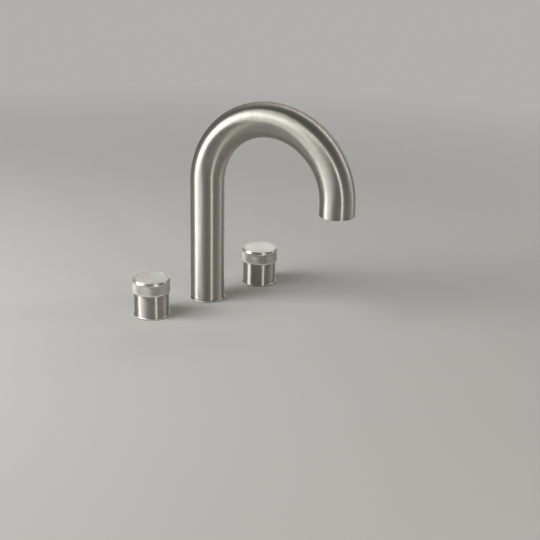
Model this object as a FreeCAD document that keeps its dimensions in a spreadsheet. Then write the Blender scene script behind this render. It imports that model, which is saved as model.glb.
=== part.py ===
import FreeCAD, Part
import math
import os
import Sketcher

# Three-hole kitchen tap: an arched spout that swivels, a touch control and a mixer control.
# Millimetres, +Z up. The origin is on the deck, on the spout's axis. The two controls stand on the
# X axis, one on each side of the spout, and straight ahead is -Y.

SIZES = {
    # Spout tube
    "tube_od": (40, "outside diameter of the spout tube"),
    "tube_wall": (1.5, "wall of the spout tube"),
    "riser_height": (144.5, "deck to the start of the bend"),
    "bend_radius": (83, "radius of the bend's centre line"),
    "drop_length": (14, "straight drop from the bend to the outlet"),
    "tube_edge": (0.5, "rounding of the outlet's edge"),
    "spout_turn": (20, "degrees from straight ahead, towards the mixer control"),
    # Swivel in the spout's foot
    "swivel_range": (120, "degrees the spout turns from stop to stop"),
    "swivel_gap": (0.4, "tube above its base ring"),
    "insert_wall": (1.4, "wall of the insert in the tube's foot"),
    "insert_length": (35, "length of the insert"),
    "bearing_wall": (1.95, "wall of the two swivel bearings"),
    "bearing_length": (7, "length of a swivel bearing"),
    "bearing_flange": (1, "height of the lower bearing's flange"),
    "neck_wall": (2, "wall of the neck that the spout turns on"),
    "neck_length": (34, "neck above the flange"),
    "spout_shank_wall": (3, "wall of the spout's shank"),
    "spout_flange_gap": (0.5, "spout flange inside the tube"),
    "stop_screw_height": (12, "set screw above the flange"),
    "stop_screw_diameter": (5, "set screw's thread"),
    "stop_point_diameter": (3, "set screw's point"),
    "stop_socket": (2.5, "set screw's socket, across flats"),
    "stop_groove_depth": (1, "stop groove in the neck"),
    "stop_screw_setback": (0.3, "set screw's head inside the tube's face"),
    "groove_play": (0.3, "room in the neck's grooves"),
    "friction_ring_height": (19, "friction ring above the flange"),
    "friction_groove_depth": (0.6, "friction ring's groove in the neck"),
    # Water ways in the spout
    "mixed_hose_od": (9, "mixed water hose, outside"),
    "mixed_hose_bore": (6, "mixed water hose, bore"),
    "boiling_hose_od": (8, "boiling water hose, outside"),
    "boiling_hose_bore": (5, "boiling water hose, bore"),
    "hose_clearance": (0.5, "hose to the shank's bore"),
    "hose_tail": (8, "hose below the shank"),
    "nipple_wall": (0.8, "wall of a nipple in a hose"),
    "nipple_length": (3, "nipple at the outlet end"),
    "tail_nipple_length": (7, "nipple at the supply end"),
    "fitting_flats": (12, "hose fitting, across flats"),
    "fitting_hex_height": (6, "hose fitting's hexagon"),
    "fitting_thread": (10, "hose fitting's thread"),
    "fitting_thread_length": (10, "length of the fitting's thread"),
    "outlet_setback": (0.5, "outlet block inside the tube's end"),
    "outlet_block_height": (12, "height of the outlet block"),
    "aerator_flange_od": (27, "visible ring of the aerator"),
    "aerator_flange_height": (1.5, "height of that ring"),
    "aerator_thread": (24, "aerator's thread"),
    "aerator_thread_length": (5.5, "length of the aerator's thread"),
    "aerator_opening": (17.5, "opening of the aerator"),
    "aerator_wall": (1.4, "aerator's wall behind its thread"),
    "aerator_seal_height": (1.2, "seal above the aerator"),
    "straightener_hole": (2.4, "hole of the flow straightener"),
    "straightener_pitch": (3.5, "step between its rings of holes"),
    # Feet and clamps, alike under all three
    "base_ring_overhang": (1, "base ring outside the tube or sleeve"),
    "base_ring_height": (2, "height of a base ring"),
    "base_ring_edge": (0.4, "chamfer of a base ring"),
    "base_ring_clearance": (0.3, "base ring round the shank"),
    "seal_margin": (1.2, "base ring outside the deck seal"),
    "seal_width": (2.3, "width of a deck seal"),
    "seal_depth": (1, "depth of a deck seal"),
    "flange_height": (4, "flange of a shank"),
    "shank_length": (60, "shank below the deck"),
    "shank_edge": (1, "chamfer of a shank's end"),
    "worktop_thickness": (30, "worktop between deck and washers"),
    "washer_clearance": (0.4, "washer round the shank"),
    "washer_width": (8, "width of a clamp washer"),
    "rubber_washer_height": (3, "rubber clamp washer"),
    "steel_washer_height": (2, "steel clamp washer"),
    "backnut_wall": (4.5, "backnut's flat outside its thread"),
    "backnut_height": (8, "height of a backnut"),
    # Outside of the controls
    "control_spacing": (83, "spout's axis to a control's axis"),
    "control_od": (40, "outside diameter of a control's sleeve"),
    "sleeve_wall": (1.5, "wall of the sleeve"),
    "sleeve_height": (26, "height of the sleeve"),
    "ring_gap": (0.6, "shadow gap below the turning ring"),
    "ring_overhang": (1.65, "turning ring outside the sleeve"),
    "ring_height": (16.2, "height of the turning ring"),
    "ring_edge": (0.3, "chamfer of the ring's lower edge"),
    "bevel_width": (1.25, "bevel of the ring, inwards"),
    "bevel_height": (2.6, "bevel of the ring, downwards"),
    "land_width": (1.6, "flat land inside the bevel"),
    "recess_depth": (4, "recess for the disc in the ring"),
    "disc_thickness": (2.2, "disc on top of a control"),
    "disc_gap": (0.2, "gap round the disc"),
    "disc_edge": (0.2, "chamfer of the disc"),
    # Turning ring on its sleeve, alike on both controls
    "control_flange_step": (2.45, "control's flange outside its shank"),
    "ring_bearing_wall": (1.25, "bearing in the sleeve"),
    "ring_bearing_length": (5, "length of that bearing"),
    "ring_bearing_setback": (0.8, "bearing's flange inside the sleeve's edge"),
    "skirt_wall": (1.35, "skirt of the turning ring"),
    "circlip_groove": (0.7, "depth of the circlip's groove"),
    "circlip_width": (1.7, "circlip, inside to outside"),
    "circlip_height": (0.9, "thickness of the circlip"),
    "circlip_play": (0.15, "circlip below the bearing"),
    "circlip_opening": (40, "degrees left open in a circlip"),
    "skirt_lip": (0.45, "skirt below the circlip"),
    # Inside of the touch control
    "touch_travel": (0.8, "travel of the touch disc"),
    "touch_bore": (18, "bore of the touch control's shank"),
    "magnet_wall": (1.8, "magnet ring in the turning ring"),
    "magnet_height": (4, "height of the magnet ring"),
    "magnet_rise": (1.4, "magnet ring above the ring's lower edge"),
    "magnet_gap": (0.5, "air between magnet ring and carrier"),
    "carrier_wall": (1.3, "wall of the carrier"),
    "carrier_flange_height": (3, "foot of the carrier"),
    "carrier_headroom": (0.8, "carrier below the pressed disc"),
    "spring_length": (6.6, "return spring, fitted"),
    "spring_wire": (0.6, "wire of the return spring"),
    "spring_diameter": (17, "mean diameter of the return spring"),
    "spring_turns": (4, "turns of the return spring"),
    "guide_height": (1.8, "guide of the disc's stem"),
    "stem_diameter": (7.3, "stem of the touch disc"),
    "guide_gap": (0.1, "stem in its guide"),
    "stop_head_diameter": (11, "head of the stop screw"),
    "stop_head_height": (1.8, "height of that head"),
    "stop_shank_diameter": (2.5, "stop screw's thread"),
    "stop_shank_length": (5.5, "length of that thread"),
    "board_ledge": (1.15, "ledge that the board rests against"),
    "board_thickness": (1.6, "sensor board"),
    "switch_side": (6, "push switch, square"),
    "switch_height": (2, "push switch without its button"),
    "switch_button_diameter": (3.5, "push switch's button"),
    "switch_button_height": (0.9, "button at rest"),
    "switch_gap": (0.05, "stop screw over the button, pressed"),
    "clip_width": (2, "clip below the board"),
    "clip_height": (1.2, "height of that clip"),
    "lamp_offset": (6, "lamp from the control's axis"),
    "lamp_diameter": (3.2, "lamp in the touch disc"),
    "led_length": (2, "light under a lamp, along"),
    "led_width": (1.2, "light under a lamp, across"),
    "led_height": (0.8, "light under a lamp, up"),
    "carrier_screw_head": (3.6, "carrier screw's head"),
    "carrier_screw_head_height": (1.6, "height of that head"),
    "carrier_screw_thread": (2.8, "carrier screw's thread"),
    "carrier_screw_depth": (3.5, "carrier screw in the flange"),
    "grommet_bore": (5, "cable hole of the grommet"),
    "grommet_plug": (6, "grommet inside the shank"),
    "grommet_lip": (2, "grommet below the shank"),
    "grommet_overlap": (3, "grommet's lip outside the bore"),
    # Inside of the mixer control
    "inside_gap": (1, "inner pieces inside the sleeve"),
    "gland_wall": (1.9, "skirt of the gland nut"),
    "gland_skirt": (6, "height of that skirt"),
    "gland_lip": (2.5, "lip of the gland nut over the cartridge"),
    "gland_slot": (4, "spanner slot of the gland nut"),
    "gland_slot_depth": (1.5, "depth of a spanner slot"),
    "barrel_wall": (2.7, "wall of the valve body's barrel"),
    "barrel_setback": (0.4, "barrel below the cartridge's shoulder"),
    "chamber_floor": (8, "floor of the chamber below the deck"),
    "port_thread_bore": (9, "tapped port of the valve body"),
    "port_depth": (14, "depth of a tapped port"),
    "port_bore": (5.6, "water way to the cartridge"),
    "cartridge_seal_height": (2, "seal below the cartridge"),
    "cartridge_wall": (1.2, "wall of the cartridge"),
    "cartridge_roof": (11.6, "cartridge above its drive plate"),
    "cartridge_neck": (17, "neck of the cartridge"),
    "cartridge_neck_height": (8, "height of that neck"),
    "ceramic_height": (4, "each ceramic disc"),
    "ceramic_gap": (0.1, "ceramic discs in the cartridge"),
    "port_margin": (1, "ceramic outside its ports"),
    "pocket_depth": (1.5, "pocket in the moving ceramic disc"),
    "pocket_angle": (240, "degrees that the pocket spans"),
    "plate_height": (4, "drive plate of the stem"),
    "plate_gap": (0.4, "drive plate in the cartridge"),
    "lug_diameter": (3, "lugs between stem and moving disc"),
    "lug_length": (1.5, "length of a lug"),
    "stem_shaft": (10, "shaft of the cartridge's stem"),
    "stem_drive": (6, "square on top of the stem"),
    "stem_drive_length": (9.8, "length of that square"),
    "stem_ring_depth": (1.1, "stem ring's groove"),
    "stem_ring_drop": (3, "stem ring below the cartridge's shoulder"),
    "hub_height": (9.8, "hub below its flange"),
    "hub_flange": (1.7, "flange of the hub in the ring's recess"),
    "hub_web": (1.5, "hub between stem and screw head"),
    "hub_screw_head": (6.8, "hub screw's head"),
    "hub_screw_head_height": (2.5, "height of that head"),
    "hub_screw_thread": (3.2, "hub screw's thread"),
    "hub_screw_length": (8.5, "length of that thread"),
    "hub_screw_play": (0.2, "room round the screw's head and over the stem"),
    "disc_spigot": (1.1, "spigot of the plain disc in the hub"),
    # Fits
    "fit_gap": (0.05, "pressed, screwed or bonded seats"),
    "running_gap": (0.05, "shafts in their bearings"),
}

doc = FreeCAD.newDocument("tap")
sheet = doc.addObject("Spreadsheet::Sheet", "Sizes")
for row, (alias, (number, meaning)) in enumerate(SIZES.items(), start=1):
    sheet.set(f"A{row}", meaning)
    sheet.set(f"B{row}", str(number))
    sheet.setAlias(f"B{row}", alias)
doc.recompute()


class Size:
    """A length worked out from the sheet, with the expression that keeps it bound to the cells."""

    def __init__(self, value, text):
        self.value = value
        self.text = text

    def __add__(self, other):
        other = as_size(other)
        return Size(self.value + other.value, f"({self.text} + {other.text})")

    def __sub__(self, other):
        other = as_size(other)
        return Size(self.value - other.value, f"({self.text} - {other.text})")

    def __mul__(self, factor):
        return Size(self.value * factor, f"({self.text} * {factor!r})")

    def __truediv__(self, divisor):
        return Size(self.value / divisor, f"({self.text} / {divisor!r})")

    def __neg__(self):
        return Size(-self.value, f"(0 - {self.text})")


class Sheet:
    """The sheet's cells, each read as a Size under its alias."""

    def __getattr__(self, alias):
        return Size(float(getattr(sheet, alias)), f"Sizes.{alias}")


ZERO = Size(0.0, "0")
ORIGIN_INDEX, H_AXIS_INDEX, V_AXIS_INDEX = (-1, 1), -1, -2
START_INDEX, END_INDEX, CENTRE_INDEX = 1, 2, 3
THROUGH_ALL_INDEX = 1
FULL_TURN = 360
size = Sheet()
nodes = []


def as_size(value):
    return value if isinstance(value, Size) else Size(float(value), repr(value))


def node(thing):
    """Counts a finished object of the document as one piece of the tap."""
    nodes.append(thing)
    return thing


# Sketches

def sketch_on(body, role, offset=ZERO):
    """A sketch on one of the body's own origin planes, moved along the plane's normal."""
    sketch = body.newObject("Sketcher::SketchObject", "Sketch")
    plane = next(feature for feature in body.Origin.OriginFeatures if feature.Role == role)
    sketch.AttachmentSupport = (plane, [""])
    sketch.MapMode = "FlatFace"
    if offset is not ZERO:
        sketch.setExpression("AttachmentOffset.Base.z", offset.text)
    return sketch


def hold(sketch, kind, *where, length):
    """Adds one dimension and binds it to the sheet."""
    index = sketch.addConstraint(Sketcher.Constraint(kind, *where, length.value))
    sketch.renameConstraint(index, f"{kind}{index}")
    sketch.setExpression(f"Constraints.{kind}{index}", length.text)


def hold_point(sketch, edge, end, x, y):
    for kind, axis, distance in (("DistanceX", V_AXIS_INDEX, x), ("DistanceY", H_AXIS_INDEX, y)):
        if distance is ZERO:
            sketch.addConstraint(Sketcher.Constraint("PointOnObject", edge, end, axis))
        else:
            hold(sketch, kind, *ORIGIN_INDEX, edge, end, length=distance)


def draw_outline(sketch, points):
    """A closed outline of straight edges."""
    corners = [FreeCAD.Vector(x.value, y.value, 0) for x, y in points]
    following = corners[1:] + corners[:1]
    edges = [sketch.addGeometry(Part.LineSegment(*pair)) for pair in zip(corners, following)]
    for edge, after in zip(edges, edges[1:] + edges[:1]):
        sketch.addConstraint(Sketcher.Constraint("Coincident", edge, END_INDEX, after, START_INDEX))
    for edge, (x, y) in zip(edges, points):
        hold_point(sketch, edge, START_INDEX, x, y)


def draw_circle(sketch, radius, x=ZERO, y=ZERO):
    centre = FreeCAD.Vector(x.value, y.value, 0)
    edge = sketch.addGeometry(Part.Circle(centre, FreeCAD.Vector(0, 0, 1), radius.value))
    hold_point(sketch, edge, CENTRE_INDEX, x, y)
    hold(sketch, "Radius", edge, length=radius)


def draw_hexagon(sketch, flats, x=ZERO, y=ZERO):
    corner = flats / (2 * math.cos(math.pi / 6))
    turns = [math.pi / 3 * step for step in range(6)]
    draw_outline(sketch, [(corner * math.cos(turn) + x, corner * math.sin(turn) + y) for turn in turns])


def draw_square(sketch, side):
    half = side / 2
    draw_outline(sketch, [(-half, -half), (half, -half), (half, half), (-half, half)])


# Features

def new_body(label, x=ZERO, turn=ZERO):
    body = doc.addObject("PartDesign::Body", label)
    if x is not ZERO:
        body.setExpression("Placement.Base.x", x.text)
    if turn is not ZERO:
        body.setExpression("Placement.Rotation.Angle", turn.text)
    return body


def feature_of(body, kind, sketch):
    feature = body.newObject(f"PartDesign::{kind}", kind)
    feature.Profile = sketch
    return feature


def must_cut(body, before):
    """Stops the build where a cut has missed the solid."""
    doc.recompute()
    if not body.Shape.Volume < before:
        raise RuntimeError(f"a cut in {body.Label} removes nothing")


def turn_profile(body, points, degrees=None):
    """Turns an outline of radius and height about the body's Z axis."""
    sketch = sketch_on(body, "XZ_Plane")
    draw_outline(sketch, points)
    feature = feature_of(body, "Revolution", sketch)
    feature.ReferenceAxis = (sketch, ["V_Axis"])
    feature.Angle = FULL_TURN
    if degrees is not None:
        feature.setExpression("Angle", degrees.text)
    return feature


def turned(label, points, x=ZERO, turn=ZERO, degrees=None):
    body = new_body(label, x, turn)
    turn_profile(body, points, degrees)
    return body


def turned_ring(label, inner, outer, bottom, top, x=ZERO, turn=ZERO, degrees=None):
    points = [(inner, bottom), (outer, bottom), (outer, top), (inner, top)]
    return turned(label, points, x, turn, degrees)


def pad(body, sketch, length, downwards=False):
    feature = feature_of(body, "Pad", sketch)
    feature.setExpression("Length", length.text)
    feature.Reversed = downwards
    return feature


def pocket(body, sketch, depth=None, along_normal=False):
    """Cuts against the sketch's normal, or along it, to a depth or right through."""
    doc.recompute()
    before = body.Shape.Volume
    feature = feature_of(body, "Pocket", sketch)
    if depth is None:
        feature.Type = THROUGH_ALL_INDEX
    else:
        feature.setExpression("Length", depth.text)
    feature.Reversed = along_normal
    must_cut(body, before)
    return feature


def groove(body, role, points, degrees):
    """Cuts an outline of radius and height round part of a turn, evenly on both sides of its plane."""
    doc.recompute()
    before = body.Shape.Volume
    sketch = sketch_on(body, role)
    draw_outline(sketch, points)
    feature = feature_of(body, "Groove", sketch)
    feature.ReferenceAxis = (sketch, ["V_Axis"])
    feature.Midplane = True
    feature.setExpression("Angle", degrees.text)
    must_cut(body, before)


def repeat_round(body, feature, count):
    pattern = body.newObject("PartDesign::PolarPattern", "PolarPattern")
    pattern.Originals = [feature]
    pattern.Axis = (feature.Profile[0], ["N_Axis"])
    pattern.Angle = FULL_TURN
    pattern.Occurrences = count
    body.Tip = pattern


def drill(body, height, radius, centres, depth=None, upwards=False):
    """Round holes down from a height, or up from it."""
    sketch = sketch_on(body, "XY_Plane", height)
    for x, y in centres:
        draw_circle(sketch, radius, x, y)
    return pocket(body, sketch, depth, along_normal=upwards)


def o_ring(label, inner, outer, middle, x=ZERO):
    """A round-section ring between two radii."""
    ring = doc.addObject("Part::Torus", label)
    ring.setExpression("Radius1", ((inner + outer) / 2).text)
    ring.setExpression("Radius2", ((outer - inner) / 2 - size.fit_gap).text)
    ring.setExpression("Placement.Base.z", middle.text)
    if x is not ZERO:
        ring.setExpression("Placement.Base.x", x.text)
    return ring


def group(label, things):
    """Like pieces kept together as one node of separate solids."""
    compound = doc.addObject("Part::Compound", label)
    compound.Links = things
    return compound


def round_points(radius, count, first=0.0):
    """Points on a circle, the first at an angle in degrees."""
    angles = [math.radians(first + FULL_TURN / count * step) for step in range(count)]
    return [(radius * math.cos(angle), radius * math.sin(angle)) for angle in angles]


# Sizes that several pieces share

ring_top = size.base_ring_height
flange_top = ring_top + size.flange_height
shank_end = -size.shank_length
touch_x = -size.control_spacing
mixer_x = size.control_spacing
spout_angle = size.spout_turn - 90

tube_radius = size.tube_od / 2
tube_bore = tube_radius - size.tube_wall
insert_outer = tube_bore - size.fit_gap
insert_bore = insert_outer - size.insert_wall
neck_radius = insert_bore - size.fit_gap - size.bearing_wall - size.running_gap
spout_bore = neck_radius - size.neck_wall
spout_shank_radius = spout_bore + size.spout_shank_wall

control_radius = size.control_od / 2
sleeve_bore = control_radius - size.sleeve_wall
control_flange = sleeve_bore - size.fit_gap
control_shank_radius = control_flange - size.control_flange_step
sleeve_top = ring_top + size.sleeve_height
ring_bottom = sleeve_top + size.ring_gap
control_top = ring_bottom + size.ring_height
disc_bottom = control_top - size.disc_thickness
ring_radius = control_radius + size.ring_overhang
recess_radius = ring_radius - size.bevel_width - size.land_width
recess_floor = control_top - size.recess_depth
bearing_bore = sleeve_bore - size.fit_gap - size.ring_bearing_wall
skirt_radius = bearing_bore - size.running_gap
ring_bore = skirt_radius - size.skirt_wall


def shank_foot(radius, flange, bore):
    """Outline of a shank from its lower end up to the outside of its flange."""
    edge = size.shank_edge
    return [
        (bore, shank_end),
        (radius - edge, shank_end),
        (radius, shank_end + edge),
        (radius, ring_top),
        (flange, ring_top),
        (flange, flange_top),
    ]


def build_feet():
    """Base rings and deck seals, the same under the spout and both controls."""
    feet = (
        ("spout", ZERO, tube_radius, spout_shank_radius),
        ("touch", touch_x, control_radius, control_shank_radius),
        ("mixer", mixer_x, control_radius, control_shank_radius),
    )
    edge = size.base_ring_edge
    for name, x, radius, shank in feet:
        outer = radius + size.base_ring_overhang
        seal_outer = outer - size.seal_margin
        seal_inner = seal_outer - size.seal_width
        bore = shank + size.base_ring_clearance
        node(turned(f"{name}_base_ring", [
            (bore, ZERO),
            (seal_inner, ZERO),
            (seal_inner, size.seal_depth),
            (seal_outer, size.seal_depth),
            (seal_outer, ZERO),
            (outer, ZERO),
            (outer, ring_top - edge),
            (outer - edge, ring_top),
            (bore, ring_top),
        ], x))
        gap = size.fit_gap
        node(turned_ring(f"{name}_deck_seal", seal_inner + gap, seal_outer - gap, ZERO, size.seal_depth, x))


def build_clamps():
    """Washers and backnuts that clamp the three shanks from below."""
    shanks = ((ZERO, spout_shank_radius), (touch_x, control_shank_radius), (mixer_x, control_shank_radius))
    rubber_top = -size.worktop_thickness
    steel_top = rubber_top - size.rubber_washer_height
    nut_top = steel_top - size.steel_washer_height
    rubber, steel, nuts = [], [], []
    for x, shank in shanks:
        inner = shank + size.washer_clearance
        outer = inner + size.washer_width
        rubber.append(turned_ring("rubber_ring", inner, outer, steel_top, rubber_top, x))
        steel.append(turned_ring("steel_ring", inner, outer, nut_top, steel_top, x))
        nut = new_body("nut", x)
        sketch = sketch_on(nut, "XY_Plane", nut_top)
        draw_hexagon(sketch, (shank + size.backnut_wall) * 2)
        draw_circle(sketch, shank + size.fit_gap)
        pad(nut, sketch, size.backnut_height, downwards=True)
        nuts.append(nut)
    node(group("clamp_rubber_washers", rubber))
    node(group("clamp_steel_washers", steel))
    node(group("backnuts", nuts))


# Spout

def draw_bend(body, foot, drop, aside=ZERO):
    """The route up the riser, over the bend and down towards the outlet."""
    sketch = sketch_on(body, "XZ_Plane", -aside if aside is not ZERO else ZERO)
    low, rise, bend = foot.value, size.riser_height.value, size.bend_radius.value
    riser = sketch.addGeometry(Part.LineSegment(FreeCAD.Vector(0, low, 0), FreeCAD.Vector(0, rise, 0)))
    circle = Part.Circle(FreeCAD.Vector(bend, rise, 0), FreeCAD.Vector(0, 0, 1), bend)
    arch = sketch.addGeometry(Part.ArcOfCircle(circle, 0, math.pi))
    end = FreeCAD.Vector(2 * bend, rise - drop.value, 0)
    fall = sketch.addGeometry(Part.LineSegment(FreeCAD.Vector(2 * bend, rise, 0), end))
    hold_point(sketch, riser, START_INDEX, ZERO, foot)
    hold_point(sketch, riser, END_INDEX, ZERO, size.riser_height)
    sketch.addConstraint(Sketcher.Constraint("Tangent", riser, END_INDEX, arch, END_INDEX))
    sketch.addConstraint(Sketcher.Constraint("Tangent", arch, START_INDEX, fall, START_INDEX))
    sketch.addConstraint(Sketcher.Constraint("Vertical", fall))
    hold(sketch, "Radius", arch, length=size.bend_radius)
    hold(sketch, "DistanceY", fall, END_INDEX, fall, START_INDEX, length=drop)
    return sketch


def bent_tube(label, outer, inner, foot, drop, aside=ZERO):
    """A round tube swept along the spout's route, or beside it."""
    body = new_body(label, turn=spout_angle)
    section = sketch_on(body, "XY_Plane", foot)
    for radius in (outer, inner):
        draw_circle(section, radius, ZERO, aside)
    sweep = feature_of(body, "AdditivePipe", section)
    sweep.Spine = (draw_bend(body, foot, drop, aside), ["Edge1", "Edge2", "Edge3"])
    return body


def stop_screw_hole(body):
    """The radial hole for the set screw, through the rear wall only."""
    sketch = sketch_on(body, "YZ_Plane")
    draw_circle(sketch, size.stop_screw_diameter / 2 + size.fit_gap, ZERO, flange_top + size.stop_screw_height)
    pocket(body, sketch)


def build_spout_tube():
    tube = node(bent_tube("spout_tube", tube_radius, tube_bore, ring_top + size.swivel_gap, size.drop_length))
    stop_screw_hole(tube)
    drilled = tube.Tip
    outlet = size.riser_height.value - size.drop_length.value
    rim = [
        f"Edge{index}" for index, edge in enumerate(drilled.Shape.Edges, start=1)
        if abs(edge.CenterOfMass.z - outlet) < 1e-6 and abs(edge.Curve.Radius - tube_radius.value) < 1e-6
    ]
    rounding = tube.newObject("PartDesign::Fillet", "Fillet")
    rounding.Base = (drilled, rim)
    rounding.setExpression("Radius", size.tube_edge.text)


def build_swivel():
    """The shank that the spout turns on, its bearings, its friction ring and its stop."""
    flange = tube_bore - size.spout_flange_gap
    neck_top = flange_top + size.neck_length
    friction_floor = neck_radius - size.friction_groove_depth
    friction_middle = flange_top + size.friction_ring_height
    friction_half = (insert_bore - friction_floor) / 2 + size.groove_play
    shank = node(turned("spout_shank", shank_foot(spout_shank_radius, flange, spout_bore) + [
        (neck_radius, flange_top),
        (neck_radius, friction_middle - friction_half),
        (friction_floor, friction_middle - friction_half),
        (friction_floor, friction_middle + friction_half),
        (neck_radius, friction_middle + friction_half),
        (neck_radius, neck_top),
        (spout_bore, neck_top),
    ]))
    stop_middle = flange_top + size.stop_screw_height
    stop_half = size.stop_point_diameter / 2 + size.groove_play
    stop_floor = neck_radius - size.stop_groove_depth
    past_neck = insert_bore
    point_angle = 2 * math.degrees(math.asin(stop_half.value / stop_floor.value))
    groove(shank, "YZ_Plane", [
        (stop_floor, stop_middle - stop_half),
        (past_neck, stop_middle - stop_half),
        (past_neck, stop_middle + stop_half),
        (stop_floor, stop_middle + stop_half),
    ], size.swivel_range + point_angle)
    node(o_ring("swivel_friction_ring", friction_floor, insert_bore, friction_middle))

    bearing_inner = neck_radius + size.running_gap
    bearing_outer = insert_bore - size.fit_gap
    flange_step = flange_top + size.bearing_flange
    node(turned("lower_swivel_bearing", [
        (bearing_inner, flange_top),
        (flange, flange_top),
        (flange, flange_step),
        (bearing_outer, flange_step),
        (bearing_outer, flange_step + size.bearing_length),
        (bearing_inner, flange_step + size.bearing_length),
    ]))
    upper_bottom = neck_top - size.bearing_length
    node(turned_ring("upper_swivel_bearing", bearing_inner, bearing_outer, upper_bottom, neck_top))

    insert_top = flange_step + size.insert_length
    insert = node(turned_ring("spout_insert", insert_bore, insert_outer, flange_step, insert_top, turn=spout_angle))
    stop_screw_hole(insert)
    build_stop_screw(stop_floor + size.groove_play, stop_middle)


def build_stop_screw(point, middle):
    """The set screw at the rear: its point runs in the neck's groove and stops the spout's turn."""
    head = tube_radius - size.stop_screw_setback
    shoulder = insert_bore + size.fit_gap
    thread_radius = size.stop_screw_diameter / 2
    point_radius = size.stop_point_diameter / 2
    screw = node(new_body("spout_set_screw", turn=spout_angle))
    sketch = sketch_on(screw, "XZ_Plane")
    sketch.setExpression("AttachmentOffset.Base.y", middle.text)
    draw_outline(sketch, [
        (-point, ZERO),
        (-point, point_radius),
        (-shoulder, point_radius),
        (-shoulder, thread_radius),
        (-head, thread_radius),
        (-head, ZERO),
    ])
    feature = feature_of(screw, "Revolution", sketch)
    feature.ReferenceAxis = (sketch, ["H_Axis"])
    feature.Angle = FULL_TURN
    socket = sketch_on(screw, "YZ_Plane", -head)
    draw_hexagon(socket, size.stop_socket, ZERO, middle)
    pocket(screw, socket, (head - shoulder) / 2, along_normal=True)


def build_water_ways():
    """The two hoses side by side in the spout, and the fittings on their supply ends."""
    hose_end = shank_end - size.hose_tail
    drop = size.drop_length - size.outlet_setback - size.outlet_block_height
    hoses = (
        ("mixed", size.mixed_hose_od / 2, size.mixed_hose_bore / 2, 1),
        ("boiling", size.boiling_hose_od / 2, size.boiling_hose_bore / 2, -1),
    )
    thread_radius = size.fitting_thread / 2
    for name, outer, bore, side in hoses:
        aside = (spout_bore - size.hose_clearance - outer) * side
        node(bent_tube(f"{name}_water_hose", outer, bore, hose_end, drop, aside))
        fitting = node(new_body(f"{name}_hose_fitting", turn=spout_angle))
        hexagon = sketch_on(fitting, "XY_Plane", hose_end)
        draw_hexagon(hexagon, size.fitting_flats, ZERO, aside)
        pad(fitting, hexagon, size.fitting_hex_height, downwards=True)
        nipple = sketch_on(fitting, "XY_Plane", hose_end)
        draw_circle(nipple, bore - size.fit_gap, ZERO, aside)
        pad(fitting, nipple, size.tail_nipple_length)
        thread_top = hose_end - size.fitting_hex_height
        thread = sketch_on(fitting, "XY_Plane", thread_top)
        draw_circle(thread, thread_radius, ZERO, aside)
        pad(fitting, thread, size.fitting_thread_length, downwards=True)
        drill(fitting, hose_end + size.tail_nipple_length, bore - size.nipple_wall, [(ZERO, aside)])


def build_outlet():
    """Outlet block with its two nipples, and the aerator screwed into it from below."""
    outlet_x = size.bend_radius * 2
    mouth = size.riser_height - size.drop_length + size.outlet_setback
    flange_end = mouth + size.aerator_flange_height
    thread_end = flange_end + size.aerator_thread_length
    cavity_end = thread_end + size.aerator_seal_height
    block_top = mouth + size.outlet_block_height
    block_radius = tube_bore - size.fit_gap
    flange = size.aerator_flange_od / 2
    thread = size.aerator_thread / 2
    gap = size.fit_gap

    # These pieces are turned about the outlet's own axis, which stands clear of the spout's.
    def outlet_body(label):
        body = new_body(label, turn=spout_angle)
        return node(body)

    def turn_about_outlet(body, points):
        sketch = sketch_on(body, "XZ_Plane")
        sketch.setExpression("AttachmentOffset.Base.x", outlet_x.text)
        draw_outline(sketch, points)
        feature = feature_of(body, "Revolution", sketch)
        feature.ReferenceAxis = (sketch, ["V_Axis"])
        feature.Angle = FULL_TURN

    block = outlet_body("outlet_block")
    turn_about_outlet(block, [
        (flange + gap, mouth),
        (block_radius, mouth),
        (block_radius, block_top),
        (ZERO, block_top),
        (ZERO, cavity_end),
        (thread + gap, cavity_end),
        (thread + gap, flange_end),
        (flange + gap, flange_end),
    ])
    hoses = (
        (size.mixed_hose_od / 2, size.mixed_hose_bore / 2, 1),
        (size.boiling_hose_od / 2, size.boiling_hose_bore / 2, -1),
    )
    for outer, bore, side in hoses:
        aside = (spout_bore - size.hose_clearance - outer) * side
        nipple = sketch_on(block, "XY_Plane", block_top)
        draw_circle(nipple, bore - gap * 2, outlet_x, aside)
        pad(block, nipple, size.nipple_length)
        nipple_top = block_top + size.nipple_length
        depth = nipple_top - cavity_end + size.aerator_seal_height
        drill(block, nipple_top, bore - size.nipple_wall, [(outlet_x, aside)], depth)

    opening = size.aerator_opening / 2
    seat = thread - size.aerator_wall
    turn_about_outlet(outlet_body("aerator_housing"), [
        (opening, mouth),
        (flange, mouth),
        (flange, flange_end),
        (thread, flange_end),
        (thread, thread_end),
        (seat, thread_end),
        (seat, flange_end),
        (opening, flange_end),
    ])
    core = outlet_body("aerator_core")
    core_bottom = mouth + size.outlet_setback
    turn_about_outlet(core, [
        (ZERO, core_bottom),
        (opening - gap, core_bottom),
        (opening - gap, flange_end),
        (seat - gap, flange_end),
        (seat - gap, thread_end),
        (ZERO, thread_end),
    ])
    hole = size.straightener_hole / 2
    centres = [(ZERO, ZERO)]
    centres += round_points(size.straightener_pitch, 6)
    centres += round_points(size.straightener_pitch * 2, 12, first=15)
    drill(core, thread_end, hole, [(x + outlet_x, y) for x, y in centres])
    turn_about_outlet(outlet_body("aerator_seal"), [
        (opening, thread_end),
        (thread, thread_end),
        (thread, cavity_end),
        (opening, cavity_end),
    ])


# Outside of the controls

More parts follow.
